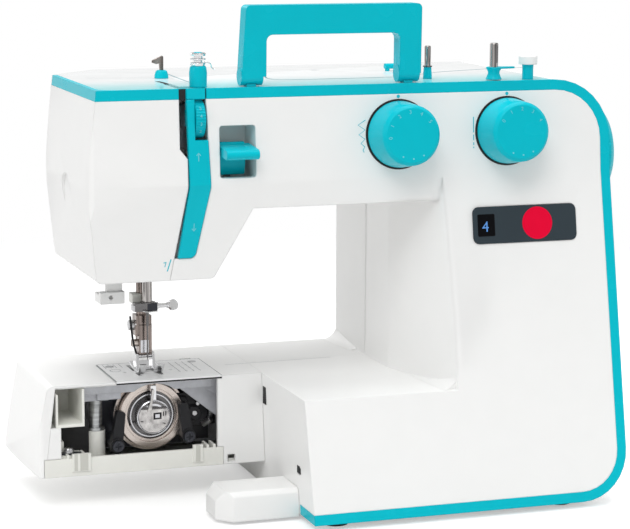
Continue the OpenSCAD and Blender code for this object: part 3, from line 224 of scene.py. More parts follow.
def finish(name, color, rough, metal=0.0, specks=0.03, grain=(900, 0.02), edge=0.0006, roughSpread=0.05,
           coat=0.0, stretch=(1, 1, 1), scale=60, wide=None, tintAndGlare=None, shine=0.5):
    s = finishSet
    mat = bpy.data.materials.new(name)
    mat.use_nodes = True
    tree = mat.node_tree
    join = tree.links.new
    shader = tree.nodes["Principled BSDF"]
    shader.inputs["Metallic"].default_value = metal
    shader.inputs["Specular IOR Level"].default_value = shine
    shader.inputs["Coat Weight"].default_value = coat
    shader.inputs["Coat Roughness"].default_value = s["coatRough"]
    place = newNode(tree, "TexCoord")
    turn = newNode(tree, "Mapping", {"Scale": stretch})
    join(place.outputs["Object"], turn.inputs["Vector"])
    # soft change of colour and gloss over the surface; stretched along a bar, it paints reflection streaks
    cloud = newNode(tree, "TexNoise", {"Scale": scale, "Detail": s["cloudDetail"]})
    join(turn.outputs[0], cloud.inputs["Vector"])
    hue = newNode(tree, "ValToRGB")
    ends = hue.color_ramp.elements
    ends[0].position, ends[1].position = s["rampEnds"]
    ends[0].color = [c * (1 - specks) for c in color] + [1]
    ends[1].color = [min(1, c * (1 + specks)) for c in color] + [1]
    join(cloud.outputs[0], hue.inputs[0])
    paint = hue.outputs[0]
    if tintAndGlare:
        # a second colour fades in along one axis, partly the surface's own colour and partly painted glare
        axis, start, end, second = tintAndGlare
        blend = newNode(tree, "Mix", {"B": (*second, 1)}, data_type="RGBA")
        join(fadeAlong(tree, place, axis, start, end), blend.inputs["Factor"])
        join(paint, blend.inputs["A"])
        paint = blend.outputs["Result"]
    join(paint, shader.inputs["Base Color"])
    least = max(s["leastRough"], rough - roughSpread)
    gloss = newNode(tree, "MapRange", {"To Min": least, "To Max": rough + roughSpread})
    join(cloud.outputs[0], gloss.inputs["Value"])
    join(gloss.outputs[0], shader.inputs["Roughness"])
    # fine grain, over softened edges
    fine = newNode(tree, "TexNoise", {"Scale": grain[0], "Detail": s["grainDetail"]})
    join(turn.outputs[0], fine.inputs["Vector"])
    bump = newNode(tree, "Bump", {"Strength": grain[1], "Distance": s["grainDepth"]})
    join(fine.outputs[0], bump.inputs["Height"])
    soft = newNode(tree, "Bevel", {"Radius": edge}, samples=s["wideSamples"] if wide else s["edgeSamples"])
    if wide:
        join(wideEdges(tree, place, edge, wide), soft.inputs["Radius"])
    join(soft.outputs[0], bump.inputs["Normal"])
    join(bump.outputs[0], shader.inputs["Normal"])
    return mat


def ink(name, color, rough=0.5, **rest):
    # thin even print
    look = {"grain": (800, 0.02), "specks": 0.02, "edge": 0.0001, **rest}
    return finish(name, color, rough, **look)


# one finish for each material slot; grain is its scale and strength, edge the softened radius in metres
finishes = {
    "white_shell": finish("whiteShell", (0.89, 0.89, 0.88), 0.34, grain=(1400, 0.04), specks=0.006,
                          edge=0.0012),
    "white_cover": finish("whiteCover", (0.88, 0.88, 0.87), 0.36, grain=(1400, 0.05), specks=0.006,
                          edge=0.001),
    "teal_plastic": finish("tealPlastic", (0.0, 0.50, 0.60), 0.26, grain=(1100, 0.02), specks=0.02,
                           edge=0.0008, shine=0.12),
    "cream_plastic": finish("creamPlastic", (0.82, 0.82, 0.77), 0.5, grain=(900, 0.12), specks=0.015),
    "chrome": finish("chromePlate", (0.78, 0.78, 0.79), 0.10, metal=1.0, grain=(300, 0.01), specks=0.02,
                     edge=0.0002, roughSpread=0.03),
    "steel": finish("groundSteel", (0.56, 0.56, 0.57), 0.28, metal=1.0, grain=(500, 0.08), specks=0.06,
                    edge=0.0003, roughSpread=0.08, stretch=(1, 1, 8), scale=200),
    "plate_steel": finish("brushedPlate", (0.88, 0.885, 0.885), 0.36, metal=0.15, grain=(260, 0.10),
                          specks=0.05, edge=0.0004, roughSpread=0.06, stretch=(0.15, 12, 1), scale=160),
    "casting": finish("greyCasting", (0.52, 0.53, 0.56), 0.48, metal=0.35, grain=(700, 0.35), specks=0.10,
                      roughSpread=0.1, scale=140),
    "black_plastic": finish("blackPlastic", (0.014, 0.014, 0.016), 0.35, grain=(900, 0.1), specks=0.1,
                            edge=0.0004, shine=0.25),
    "rubber": finish("blackRubber", (0.025, 0.025, 0.025), 0.7, grain=(600, 0.3), specks=0.15, edge=0.0008),
    "slate_panel": finish("slatePanel", (0.028, 0.042, 0.052), 0.2, grain=(900, 0.01), specks=0.02,
                          edge=0.0003, shine=0.25, coat=0.1),
    "bronze": finish("raceBronze", (0.70, 0.62, 0.57), 0.26, metal=0.85, grain=(600, 0.04), specks=0.12),
    "lamp_glass": finish("lampGlass", (0.92, 0.88, 0.74), 0.25, grain=(200, 0.02), specks=0.01, edge=0.0003),
}
columnEdges = {
    "radius": 0.007,   # metres
    "fades": [(0, 16, 40), (0, 110, 80), (2, 84, 100), (2, 236, 210)],   # axis, start and end in millimetres
}
# finishes of single pieces, kept apart from their slot's own
extras = {
    "columnShell": finish("columnShell", (0.89, 0.89, 0.88), 0.34, grain=(1400, 0.04), specks=0.006,
                          edge=0.0012, wide=columnEdges),
    # the top's own teal at the front, whitened towards the back by painted glare
    "topShell": finish("topShell", (0.88, 0.89, 0.89), 0.22, grain=(1400, 0.03), specks=0.006, edge=0.0008,
                       coat=0.3, tintAndGlare=(1, 14, -58, (0.22, 0.70, 0.73))),
    "darkSteel": finish("darkSteel", (0.16, 0.155, 0.155), 0.22, metal=1.0, grain=(500, 0.06), specks=0.2,
                        edge=0.0003),
    # streaks of dark and light stretched along the bars: painted reflections
    "barSteelReflectionStreaks": finish("barSteelReflectionStreaks", (0.36, 0.34, 0.33), 0.16, metal=1.0, grain=(300, 0.02), specks=0.75,
                       edge=0.0002, stretch=(1, 1, 0.03), scale=620),
    # dark brown steel whose streaks along its length are painted highlights
    "brownSteelHighlightStreaks": finish("brownSteelHighlightStreaks", (0.27, 0.225, 0.205), 0.2, metal=1.0, grain=(400, 0.04), specks=0.5,
                         edge=0.0003, stretch=(1, 1, 0.08), scale=420),
    "blackMetal": finish("blackMetal", (0.035, 0.037, 0.045), 0.3, metal=0.6, grain=(500, 0.05), specks=0.15,
                         edge=0.0003),
    "paleSteel": finish("paleSteel", (0.74, 0.74, 0.77), 0.2, metal=0.8, grain=(400, 0.03), specks=0.1,
                        edge=0.0003),
    "caseSteel": finish("caseSteel", (0.56, 0.54, 0.53), 0.24, metal=0.95, grain=(500, 0.05), specks=0.35,
                        edge=0.0003, scale=240),
    "shade": finish("shade", (0.012, 0.012, 0.013), 0.8, grain=(300, 0.02), specks=0.1, edge=0.0001),
    "postSteel": finish("postSteel", (0.40, 0.41, 0.41), 0.3, metal=0.9, grain=(700, 0.04), specks=0.4,
                        edge=0.0003, stretch=(0.1, 0.1, 1), scale=500),
    "creamShade": finish("creamShade", (0.60, 0.60, 0.55), 0.6, grain=(800, 0.1), specks=0.02, edge=0.0002),
}
inks = {
    "white": ink("whiteInk", (0.88, 0.90, 0.90), 0.45, specks=0.01),
    "teal": ink("tealInk", (0.0, 0.50, 0.60), 0.4),
    "pale": ink("paleInk", (0.16, 0.62, 0.69), 0.4),
    "deep": ink("deepTealInk", (0.0, 0.16, 0.20)),
    "grey": ink("greyInk", (0.50, 0.52, 0.53)),
    # print on the plate, also used for the painted shadows along its edges
    "plate": ink("plateInkAndShadow", (0.28, 0.29, 0.30)),
    "red": ink("redPrint", (0.80, 0.0, 0.035), 0.4, specks=0.03, edge=0.0002, shine=0.1),
    "windowBlack": ink("windowBlack", (0.004, 0.004, 0.005), 0.3, grain=(300, 0.005), specks=0.05,
                       shine=0.05),
    "windowBlue": ink("windowBlue", (0.10, 0.30, 0.72), 0.4, grain=(300, 0.01)),
}
repaint = {
    "front_cover": "columnShell", "top_cover": "topShell", "race_base": "blackMetal",
    "latch_screws": "blackMetal", "shuttle_hook": "darkSteel", "needle": "darkSteel",
    "needle_clamp": "darkSteel", "needle_bar": "barSteelReflectionStreaks", "presser_bar": "brownSteelHighlightStreaks",
    "presser_ankle": "brownSteelHighlightStreaks", "feed_post": "postSteel", "handle_pins": "teal_plastic",
}
slotOf = {s["node"]: s["material_slot"] for s in frame["record"]["subparts"]}
coatOf = {name: {**finishes, **extras}[repaint.get(name, slotOf[name])] for name in nodes}
for name, node in nodes.items():
    node.data.materials.clear()
    node.data.materials.append(coatOf[name])
print("finishes made:", len(finishes) + len(extras) + len(inks))


def smoothFaces(mesh, angle):
    for face in mesh.polygons:
        face.use_smooth = True
    mesh.set_sharp_from_angle(angle=math.radians(angle))


def roundEdges(piece, width, segments, angle):
    edges = piece.modifiers.new("edges", "BEVEL")
    edges.width = width * mm
    edges.segments = segments
    edges.limit_method = "ANGLE"
    edges.angle_limit = math.radians(angle)
    edges.harden_normals = True


def newPiece(name, data, body):
    piece = bpy.data.objects.new(name, data)
    bpy.context.scene.collection.objects.link(piece)
    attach(piece, body)
    return piece


# softened copies of the moulded and cast pieces

softSet = {
    "merge": 1e-6,   # metres
    "flat": 0.4, "sharp": 32,   # degrees
    "segments": 3,
    "edges": {   # node: width of its rounded edges in millimetres
        "front_cover": 1.2, "rear_cover": 1.2, "top_cover": 0.8, "face_cover": 1.0, "free_arm_shell": 1.2,
        "support_foot": 1.5, "trim_ring": 0.5, "carry_handle": 1.5, "arm_tray": 0.5, "reverse_lever": 0.8,
        "hand_wheel": 0.6, "width_dial": 0.3, "length_dial": 0.3, "thread_cover": 0.5, "arm_casting": 0.6,
        "frame_casting": 0.8, "needle_plate": 0.25, "presser_foot": 0.25, "presser_ankle": 0.4,
        "needle_clamp": 0.4, "buttonhole_lever": 0.6, "power_inlet": 0.5, "latch_left": 0.5,
        "latch_right": 0.5, "stitch_panel": 0.25, "presser_lifter": 0.8, "base_plate": 0.6,
    },
}


def softCopy(name, width, s):
    bm = bmesh.new()
    bm.from_mesh(nodes[name].data)
    bmesh.ops.remove_doubles(bm, verts=bm.verts, dist=s["merge"])
    bmesh.ops.dissolve_limit(bm, angle_limit=math.radians(s["flat"]), verts=bm.verts, edges=bm.edges)
    mesh = bpy.data.meshes.new(name + ".soft")
    bm.to_mesh(mesh)
    bm.free()
    mesh.materials.append(coatOf[name])
    smoothFaces(mesh, s["sharp"])
    piece = newPiece(name + ".soft", mesh, bodyOf[name])
    roundEdges(piece, width, s["segments"], s["sharp"])
    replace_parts(piece, name)


for name, width in softSet["edges"].items():
    softCopy(name, width, softSet)
print("moulded pieces softened:", len(softSet["edges"]))

pieceSet = {"merge": 1e-7, "sharp": 35, "segments": 2, "wireOrder": 3, "wireSides": 3}   # metres, degrees


def addPiece(name, slotName, body, bm, material=None, bevel=0.0):
    s = pieceSet
    bmesh.ops.remove_doubles(bm, verts=bm.verts, dist=s["merge"])
    bmesh.ops.recalc_face_normals(bm, faces=bm.faces)
    mesh = bpy.data.meshes.new(name)
    bm.to_mesh(mesh)
    bm.free()
    mesh.materials.append(material or finishes[slotName])
    smoothFaces(mesh, s["sharp"])
    piece = newPiece(name, mesh, body)
    if bevel:
        roundEdges(piece, bevel, s["segments"], s["sharp"])
    return piece


def rod(bm, start, end, radius, steps=32):
    # a closed rod between two places
    a, b = Vector(start) * mm, Vector(end) * mm
    turn = (b - a).to_track_quat("Z", "Y").to_matrix().to_4x4()
    bmesh.ops.create_cone(bm, cap_ends=True, segments=steps, radius1=radius * mm, radius2=radius * mm,
                          depth=(b - a).length, matrix=Matrix.Translation((a + b) / 2) @ turn)


def block(bm, low, high):
    low, high = Vector(low) * mm, Vector(high) * mm
    stretch = Matrix.Diagonal((*(high - low), 1))
    bmesh.ops.create_cube(bm, size=1, matrix=Matrix.Translation((low + high) / 2) @ stretch)


def plateOn(bm, outline, place, thick):
    # a flat outline, in the place's own right and up, raised along its outward direction
    face = bm.faces.new([bm.verts.new(place @ Vector((x * mm, y * mm, 0))) for x, y in outline])
    made = bmesh.ops.extrude_face_region(bm, geom=[face])["geom"]
    out = (place.to_3x3() @ Vector((0, 0, 1))) * thick * mm
    bmesh.ops.translate(bm, vec=out, verts=[v for v in made if isinstance(v, bmesh.types.BMVert)])


def lathe(bm, profile, place, steps=48):
    # turns (radius, height) pairs round the place's outward direction
    verts = [bm.verts.new(place @ Vector((r * mm, 0, z * mm))) for r, z in profile]
    edges = [bm.edges.new(pair) for pair in zip(verts, verts[1:])]
    bmesh.ops.spin(bm, geom=verts + edges, cent=place.translation, axis=place.to_3x3() @ Vector((0, 0, 1)),
                   angle=math.tau, steps=steps, use_merge=True, use_duplicate=False)


def arc(radius, start, end, steps, x=0.0, y=0.0):
    # points of a round stretch between two angles in degrees
    angles = [math.radians(start + (end - start) * i / steps) for i in range(steps + 1)]
    return [(x + radius * math.cos(a), y + radius * math.sin(a)) for a in angles]


def disc(radius, steps=48):
    return arc(radius, 0, 360, steps)[:-1]


def roundBox(x0, y0, x1, y1, r, steps=5):
    corners = [(x1 - r, y1 - r), (x0 + r, y1 - r), (x0 + r, y0 + r), (x1 - r, y0 + r)]
    return [p for i, (x, y) in enumerate(corners) for p in arc(r, 90 * i, 90 * i + 90, steps, x, y)]


def strip(points, width):
    # outline of a line of this width through flat points
    left, right = [], []
    for i, (x, y) in enumerate(points):
        ax, ay = points[max(0, i - 1)]
        bx, by = points[min(len(points) - 1, i + 1)]
        size = math.hypot(bx - ax, by - ay)
        nx, ny = -(by - ay) / size * width / 2, (bx - ax) / size * width / 2
        left.append((x + nx, y + ny))
        right.append((x - nx, y - ny))
    return left + right[::-1]


def shift(points, x, y=0.0):
    return [(x + dx, y + dy, z) for dx, dy, z in points]


def flatPiece(name, slotName, body, outline, place, thick, material=None, bevel=0.0):
    bm = bmesh.new()
    plateOn(bm, outline, place, thick)
    return addPiece(name, slotName, body, bm, material, bevel)


def linePiece(name, slotName, body, points, width, place, material, thick=0.06):
    return flatPiece(name, slotName, body, strip(points, width), place, thick, material)


def blockPiece(name, slotName, body, boxes, material=None, bevel=0.0):
    bm = bmesh.new()
    for low, high in boxes:
        block(bm, low, high)
    return addPiece(name, slotName, body, bm, material, bevel)


def turnedPiece(name, slotName, body, profile, place, material=None, bevel=0.0, steps=48):
    bm = bmesh.new()
    lathe(bm, profile, place, steps)
    return addPiece(name, slotName, body, bm, material, bevel)


def wirePiece(name, slotName, body, points, radius):
    # bent wire through places
    curve = bpy.data.curves.new(name, "CURVE")
    curve.dimensions = "3D"
    curve.bevel_depth = radius * mm
    curve.bevel_resolution = pieceSet["wireSides"]
    curve.use_fill_caps = True
    spline = curve.splines.new("NURBS")
    spline.points.add(len(points) - 1)
    for p, place in zip(spline.points, points):
        p.co = (*(Vector(place) * mm), 1)
    spline.order_u = pieceSet["wireOrder"]
    spline.use_endpoint_u = True
    curve.materials.append(finishes[slotName])
    return newPiece(name, curve, body)


def lettering(name, body, text, size, place, material, thick=0.06):
    curve = bpy.data.curves.new(name, "FONT")
    curve.body = text
    curve.size = size * mm
    curve.align_x = "CENTER"
    curve.align_y = "CENTER"
    curve.extrude = thick * mm
    shaped = bpy.data.objects.new(name + ".text", curve)
    bpy.context.scene.collection.objects.link(shaped)
    bpy.context.view_layer.update()
    mesh = bpy.data.meshes.new_from_object(shaped.evaluated_get(bpy.context.evaluated_depsgraph_get()))
    bpy.data.objects.remove(shaped)
    mesh.transform(place)
    mesh.materials.clear()
    mesh.materials.append(material)
    return newPiece(name, mesh, body)


# places on the machine's surfaces, each with its own right, up and outward directions

slopeSet = {   # y and z of the lines where the front changes its slope
    "top": (-58.0, 272.5), "crease": (-62.0, 214.0), "bottom": (-97.0, 4.0), "headBottom": (-50.0, 154.0),
}
topZ = slopeSet["top"][1]


def slopePlace(x, z, low, high, out):
    (y0, z0), (y1, z1) = low, high
    y = y0 + (y1 - y0) * (z - z0) / (z1 - z0)
    right = Vector((1, 0, 0))
    up = Vector((0, y1 - y0, z1 - z0)).normalized()
    normal = right.cross(up)
    place = Matrix((right, up, normal)).transposed().to_4x4()
    place.translation = (Vector((x, y, z)) + normal * out) * mm
    return place


def frontPlace(x, z, out=0.0, bottom="bottom"):
    s = slopeSet
    if z >= s["crease"][1]:
        return slopePlace(x, z, s["crease"], s["top"], out)
    return slopePlace(x, z, s[bottom], s["crease"], out)


def headPlace(x, z, out=0.0):
    return frontPlace(x, z, out, "headBottom")


def levelPlace(x, y, z=topZ):
    return Matrix.Translation(Vector((x, y, z)) * mm)


def facing(x, y, z, towards="front"):
    turn = {"front": 0, "right": 90, "back": 180}[towards]
    upright = Matrix.Rotation(math.radians(90), 4, "X")
    return Matrix.Translation(Vector((x, y, z)) * mm) @ Matrix.Rotation(math.radians(turn), 4, "Z") @ upright


# the two dials: numbers round the face, a painted shadow ring behind it and a pointer above

dialSet = {
    "dials": [   # name, x, body, numbers, angle of the first from the top
        ("width", 29.5, "dial_a", "012345", -95.0),
        ("length", 103.0, "dial_b", "01234", -60.0),
    ],
    "z": 241.0, "reach": 24.0, "markAt": 14.4, "numberSize": 3.3, "step": 30.0,
    "dotAngles": (150, 178, 206), "dotRadius": 0.55, "dotThick": 0.06,
    "shadowRingRadius": 22.0, "shadowRingThick": 0.25,
    "pointerZ": 264.5, "pointerRadius": 1.1, "pointerThick": 0.08,
}


def onDial(face, angle, radius):
    # a spot this far from the middle of a face, at an angle from its top
    return face @ Matrix.Translation(Vector((math.sin(angle), math.cos(angle), 0)) * radius * mm)


def addDialMarks(s):
    dot, shadowRing, pointer = disc(s["dotRadius"], 12), disc(s["shadowRingRadius"], 64), disc(s["pointerRadius"], 20)
    for label, x, body, numbers, start in s["dials"]:
        face = frontPlace(x, s["z"], s["reach"])
        for i, n in enumerate(numbers):
            angle = math.radians(start + i * s["step"])
            spot = onDial(face, angle, s["markAt"]) @ Matrix.Rotation(-angle, 4, "Z")
            lettering(f"{label}Number{n}", body, n, s["numberSize"], spot, inks["pale"])
        for i, angle in enumerate(s["dotAngles"]):
            spot = onDial(face, math.radians(angle), s["markAt"])
            flatPiece(f"{label}Dot{i}", "teal_plastic", body, dot, spot, s["dotThick"], inks["pale"])
        # a black disc behind each dial: painted shadow in the gap between dial and panel
        spot, thick = frontPlace(x, s["z"]), s["shadowRingThick"]
        flatPiece(f"{label}ShadowRing", "black_plastic", "machine", shadowRing, spot, thick, extras["shade"])
        spot, thick = frontPlace(x, s["pointerZ"]), s["pointerThick"]
        flatPiece(f"{label}Pointer", "teal_plastic", "machine", pointer, spot, thick, inks["teal"])


addDialMarks(dialSet)

signSet = {   # points as x and z on the front
    "zigzag": [(7.4, 250.4), (2.5, 247.4), (7.2, 244.3), (3.0, 241.4), (7.0, 238.6), (4.3, 236.0),
               (6.8, 233.8), (5.6, 231.8), (6.3, 230.4)],
    "dashes": [(250.4, 240.6), (239.2, 235.6), (234.4, 232.6), (231.6, 230.6)],
    "zigzagX": 5.0, "dashX": 80.0, "midZ": 240.0, "line": 0.5, "dashHalf": 0.3, "thick": 0.05,
}


def addSigns(s):
    x0, z0, half = s["zigzagX"], s["midZ"], s["dashHalf"]
    zigzag = [(x - x0, z - z0) for x, z in s["zigzag"]]
    place = frontPlace(x0, z0)
    linePiece("zigzagSign", "teal_plastic", "machine", zigzag, s["line"], place, inks["teal"], s["thick"])
    bm = bmesh.new()
    place = frontPlace(s["dashX"], z0)
    for high, low in s["dashes"]:
        outline = [(-half, low - z0), (half, low - z0), (half, high - z0), (-half, high - z0)]
        plateOn(bm, outline, place, s["thick"])
    addPiece("dashSign", "teal_plastic", "machine", bm, inks["teal"])


addSigns(signSet)

panelSet = {
    "window": (80.6, 175.0, 92.3, 189.0), "corner": 0.8, "glass": 0.12,
    "number": "4", "numberSize": 9.5, "numberShift": (-0.6, -1.2), "numberOut": 0.76,
    "disc": (121.7, 182.2, 10.4), "discThick": 0.1, "out": 0.6,
}


def addPanelFace(s):
    x0, z0, x1, z1 = s["window"]
    midX, midZ = (x0 + x1) / 2, (z0 + z1) / 2
    glass = roundBox(x0 - midX, z0 - midZ, x1 - midX, z1 - midZ, s["corner"])
    place = frontPlace(midX, midZ, s["out"])
    flatPiece("windowGlass", "slate_panel", "machine", glass, place, s["glass"], inks["windowBlack"])
    right, up = s["numberShift"]
    place = frontPlace(midX + right, midZ + up, s["numberOut"])
    text, size = s["number"], s["numberSize"]
    lettering("windowNumber", "machine", text, size, place, inks["windowBlue"])
    x, z, radius = s["disc"]
    place = frontPlace(x, z, s["out"])
    flatPiece("redSpot", "slate_panel", "machine", disc(radius, 64), place, s["discThick"], inks["red"])


addPanelFace(panelSet)

headSet = {
    "arrows": [(-100.6, 231.0, 1), (-102.6, 188.0, -1)],   # x, z, and 1 for up or -1 for down
    "arrowOut": 0.82, "line": 0.5, "shaft": 2.4,
    "tip": (1.3, 0.9, 2.6),   # half its width, and the heights of its ends and its point
    "number": "7", "numberAt": (-119.4, 164.4, 0.05), "numberSize": 4.6, "lean": 12,
    "dashAt": (-116.8, 160.2), "dash": [(-1.1, 0), (0.9, 7.8)], "dashLine": 0.7,
}


def addHeadMarks(s):
    wide, low, high = s["tip"]
    for i, (x, z, up) in enumerate(s["arrows"]):
        place = headPlace(x, z, s["arrowOut"])
        shaft = [(0, -s["shaft"] * up), (0, s["shaft"] * up)]
        tip = [(-wide, low * up), (0, high * up), (wide, low * up)]
        linePiece(f"coverArrow{i}", "teal_plastic", "machine", shaft, s["line"], place, inks["pale"])
        linePiece(f"coverArrowHead{i}", "teal_plastic", "machine", tip, s["line"], place, inks["pale"])
    place = headPlace(*s["numberAt"]) @ Matrix.Rotation(math.radians(s["lean"]), 4, "Z")
    lettering("headNumber", "face_door", s["number"], s["numberSize"], place, inks["teal"])
    place = headPlace(*s["dashAt"])
    linePiece("headDash", "teal_plastic", "face_door", s["dash"], s["dashLine"], place, inks["teal"])


addHeadMarks(headSet)

tensionSet = {
    "x": -98.9, "z": 253.5, "radius": 11.8, "showing": 3, "numbers": "5432", "size": 3.0, "out": 0.02,
    "first": 36, "step": 24.0,   # degrees: the first number above level, and the step down
}


def addTensionMarks(s):
    # numbers round the rim of the wheel, whose front stands out of the head
    y = headPlace(s["x"], s["z"]).translation.y / mm + s["radius"] - s["showing"]
    for i, n in enumerate(s["numbers"]):
        a = math.radians(s["first"] - i * s["step"])
        out = Vector((0, -math.cos(a), math.sin(a)))
        up = Vector((0, math.sin(a), math.cos(a)))
        place = Matrix((Vector((1, 0, 0)), up, out)).transposed().to_4x4()
        place.translation = (Vector((s["x"], y, s["z"])) + out * (s["radius"] + s["out"])) * mm
        lettering(f"tensionNumber{n}", "tension", n, s["size"], place, inks["pale"])


addTensionMarks(tensionSet)
print("marks on the front added")

topSet = {
    "lines": [   # name, slot, finish, width, height, points as x and y on the top
        ("topGroove", "teal_plastic", inks["deep"], 0.9, 0.08,
         [(-35.8, 9.9), (-37.4, 0.0), (-36.6, -8.0), (-32.0, -13.0), (-20.4, -14.8), (13.4, -14.2),
          (46.2, -12.4), (60.0, -5.0), (74.0, 8.0), (90.0, 18.0), (105.1, 24.0), (128.4, 32.0),
          (155.5, 36.0)]),
        ("topSeam", "white_cover", inks["grey"], 0.5, 0.05, [(-147.5, 33.6), (-133.3, 29.0), (-107.3, 22.2)]),
        ("headGroove", "teal_plastic", inks["deep"], 0.8, 0.06,
         [(-95.0, -56.0), (-93.6, -20.0), (-91.5, 20.0), (-89.2, 57.0)]),
        # the slot's far end, painted as a strip of shade on the top
        ("slotEndShade", "black_plastic", extras["shade"], 3.0, 0.05,
         [(-109.7, -22.5), (-109.8, -12.0), (-110.6, -3.0)]),
    ],
    "pinHole": (12.5, 54.2), "holeRadius": 2.6, "holeThick": 0.08,
}


def addTopLines(s):
    flat = levelPlace(0, 0)
    for name, slotName, material, width, thick, points in s["lines"]:
        linePiece(name, slotName, "machine", points, width, flat, material, thick)
    hole, spot = disc(s["holeRadius"], 32), levelPlace(*s["pinHole"])
    flatPiece("secondPinHole", "black_plastic", "machine", hole, spot, s["holeThick"], inks["grey"])


addTopLines(topSet)

# profiles of the fittings are pairs of radius and height above the top

spoolSet = {
    "place": (60.0, -30.5),
    "base": [(0, 0), (2.9, 0), (2.7, 4), (2.4, 7.8), (0, 7.8)],
    "collar": [(0, 7.6), (3.0, 7.6), (3.0, 8.3), (0, 8.3)],
    "rod": [(0, 8), (2.0, 8), (2.0, 20.4), (1.6, 21), (0, 21)],
}


def addSpoolPin(s):
    spot = levelPlace(*s["place"])
    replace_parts(turnedPiece("spoolBase", "teal_plastic", "machine", s["base"], spot, bevel=0.2), "spool_pin")
    turnedPiece("spoolCollar", "black_plastic", "machine", s["collar"], spot, extras["darkSteel"])
    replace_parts(turnedPiece("spoolRod", "chrome", "machine", s["rod"], spot, extras["barSteelReflectionStreaks"]), "spool_pin")


addSpoolPin(spoolSet)

winderSet = {
    "place": (97.0, -51.0),
    "base": [(0, 0.5), (5.2, 0.5), (4.7, 1.6), (3.7, 4.2), (3.8, 5.6), (4.8, 7.2), (5.0, 8.3), (0, 8.3)],
    "arm": [(2, -4), (14, -1.2), (14, 1.2), (2, 4)], "armZ": 279.7, "armThick": 1.2,
    "rod": [(0, 8), (2.7, 8), (2.7, 22.9), (2.2, 23.5), (0, 23.5)],
    "slit": [(-0.1, -2.78, 283.5), (1.5, -2.0, 294.5)],
}


def addWinder(s):
    spot = levelPlace(*s["place"])
    bm = bmesh.new()
    lathe(bm, s["base"], spot)
    plateOn(bm, s["arm"], levelPlace(*s["place"], s["armZ"]), s["armThick"])
    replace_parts(addPiece("winderBase", "teal_plastic", "winder", bm, bevel=0.2), "winder_spindle")
    winderRod = turnedPiece("winderRod", "chrome", "winder", s["rod"], spot, extras["barSteelReflectionStreaks"])
    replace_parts(winderRod, "winder_spindle")
    slit = shift(s["slit"], *s["place"])
    blockPiece("winderSlit", "black_plastic", "winder", [slit], extras["darkSteel"])


addWinder(winderSet)

stopSet = {
    "place": (121.0, -50.0),
    "post": [(0, 0), (3.6, 0), (3.5, 6), (3.7, 9.6), (0, 9.6)],
    "cap": [(0, 9.5), (6.0, 9.5), (6.0, 14.6), (5.4, 15), (0, 15)],
}


def addWinderStop(s):
    spot = levelPlace(*s["place"])
    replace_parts(turnedPiece("stopPost", "teal_plastic", "machine", s["post"], spot, bevel=0.2), "winder_stop")
    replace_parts(turnedPiece("stopCap", "white_shell", "machine", s["cap"], spot, bevel=0.25), "winder_stop")


addWinderStop(stopSet)

postSet = {
    "place": (-97.5, -50.0),
    "base": [(0, 0), (5.3, 0), (5.4, 4), (5.5, 9), (5.0, 12.4), (4.4, 13), (0, 13)],
    "discs": [(0, 12.9), (4.0, 12.9), (4.6, 14.2), (4.7, 14.9), (2.6, 15.5), (2.6, 16.2), (4.9, 16.8),
              (4.9, 17.4), (2.8, 18.0), (2.8, 18.8), (4.7, 19.2), (4.9, 20.2), (4.3, 21), (0, 21)],
    "cap": [(0, 20.9), (2.6, 20.9), (2.4, 21.3), (0, 21.4)],
    "spring": [(3, -3, 288.2), (6, -4, 287.6), (8.0, -1, 286.0), (8.6, 1, 284.0), (10.6, 0, 283.2)],
    "loop": [(-4.4, -1, 286.4), (-5.8, -2.5, 286.6), (-4.6, -4.6, 286.8), (-1, -5.2, 287.0)],
    "springRadius": 0.4, "loopRadius": 0.35,
}


def addThreadPost(s):
    spot = levelPlace(*s["place"])
    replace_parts(turnedPiece("postBase", "teal_plastic", "machine", s["base"], spot, bevel=0.2), "thread_post")
    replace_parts(turnedPiece("postDiscs", "chrome", "machine", s["discs"], spot), "thread_post")
    turnedPiece("postCap", "teal_plastic", "machine", s["cap"], spot)
    wirePiece("postSpring", "chrome", "machine", shift(s["spring"], *s["place"]), s["springRadius"])
    wirePiece("postLoop", "chrome", "machine", shift(s["loop"], *s["place"]), s["loopRadius"])


addThreadPost(postSet)

threadHookSet = {
    "place": (-102.0, 19.0),
    "base": [(0, 0), (4.5, 0), (4.4, 2), (3.6, 4.6), (2.6, 5.2), (0, 5.2)],
    "flag": [(-6.4, 10.0), (-6.0, 11.6), (0.4, 14.4), (1.2, 13.6), (1.2, 4.8), (-1.2, 4.8), (-1.6, 9.4),
             (-3.4, 9.0)],
    "flagThick": 1.6,
}


def addThreadHook(s):
    x, y = s["place"]
    spot = levelPlace(x, y)
    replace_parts(turnedPiece("hookBase", "teal_plastic", "machine", s["base"], spot, bevel=0.2), "thread_hook")
    upright, thick = facing(x, y + s["flagThick"] / 2, topZ), s["flagThick"]
    flag = flatPiece("hookFlag", "bronze", "machine", s["flag"], upright, thick, extras["brownSteelHighlightStreaks"], 0.3)
    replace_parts(flag, "thread_hook")


addThreadHook(threadHookSet)

slotSet = {"x": [(-111.8, -107.4), (-95.35, -94.65)], "y": (-56.95, -56.89), "z": (265.4, 272.3)}


def addSlotShade(s):
    (y0, y1), (z0, z1) = s["y"], s["z"]
    boxes = [((x0, y0, z0), (x1, y1, z1)) for x0, x1 in s["x"]]
    blockPiece("slotShade", "black_plastic", "machine", boxes, extras["shade"])


addSlotShade(slotSet)
print("top fittings dressed")

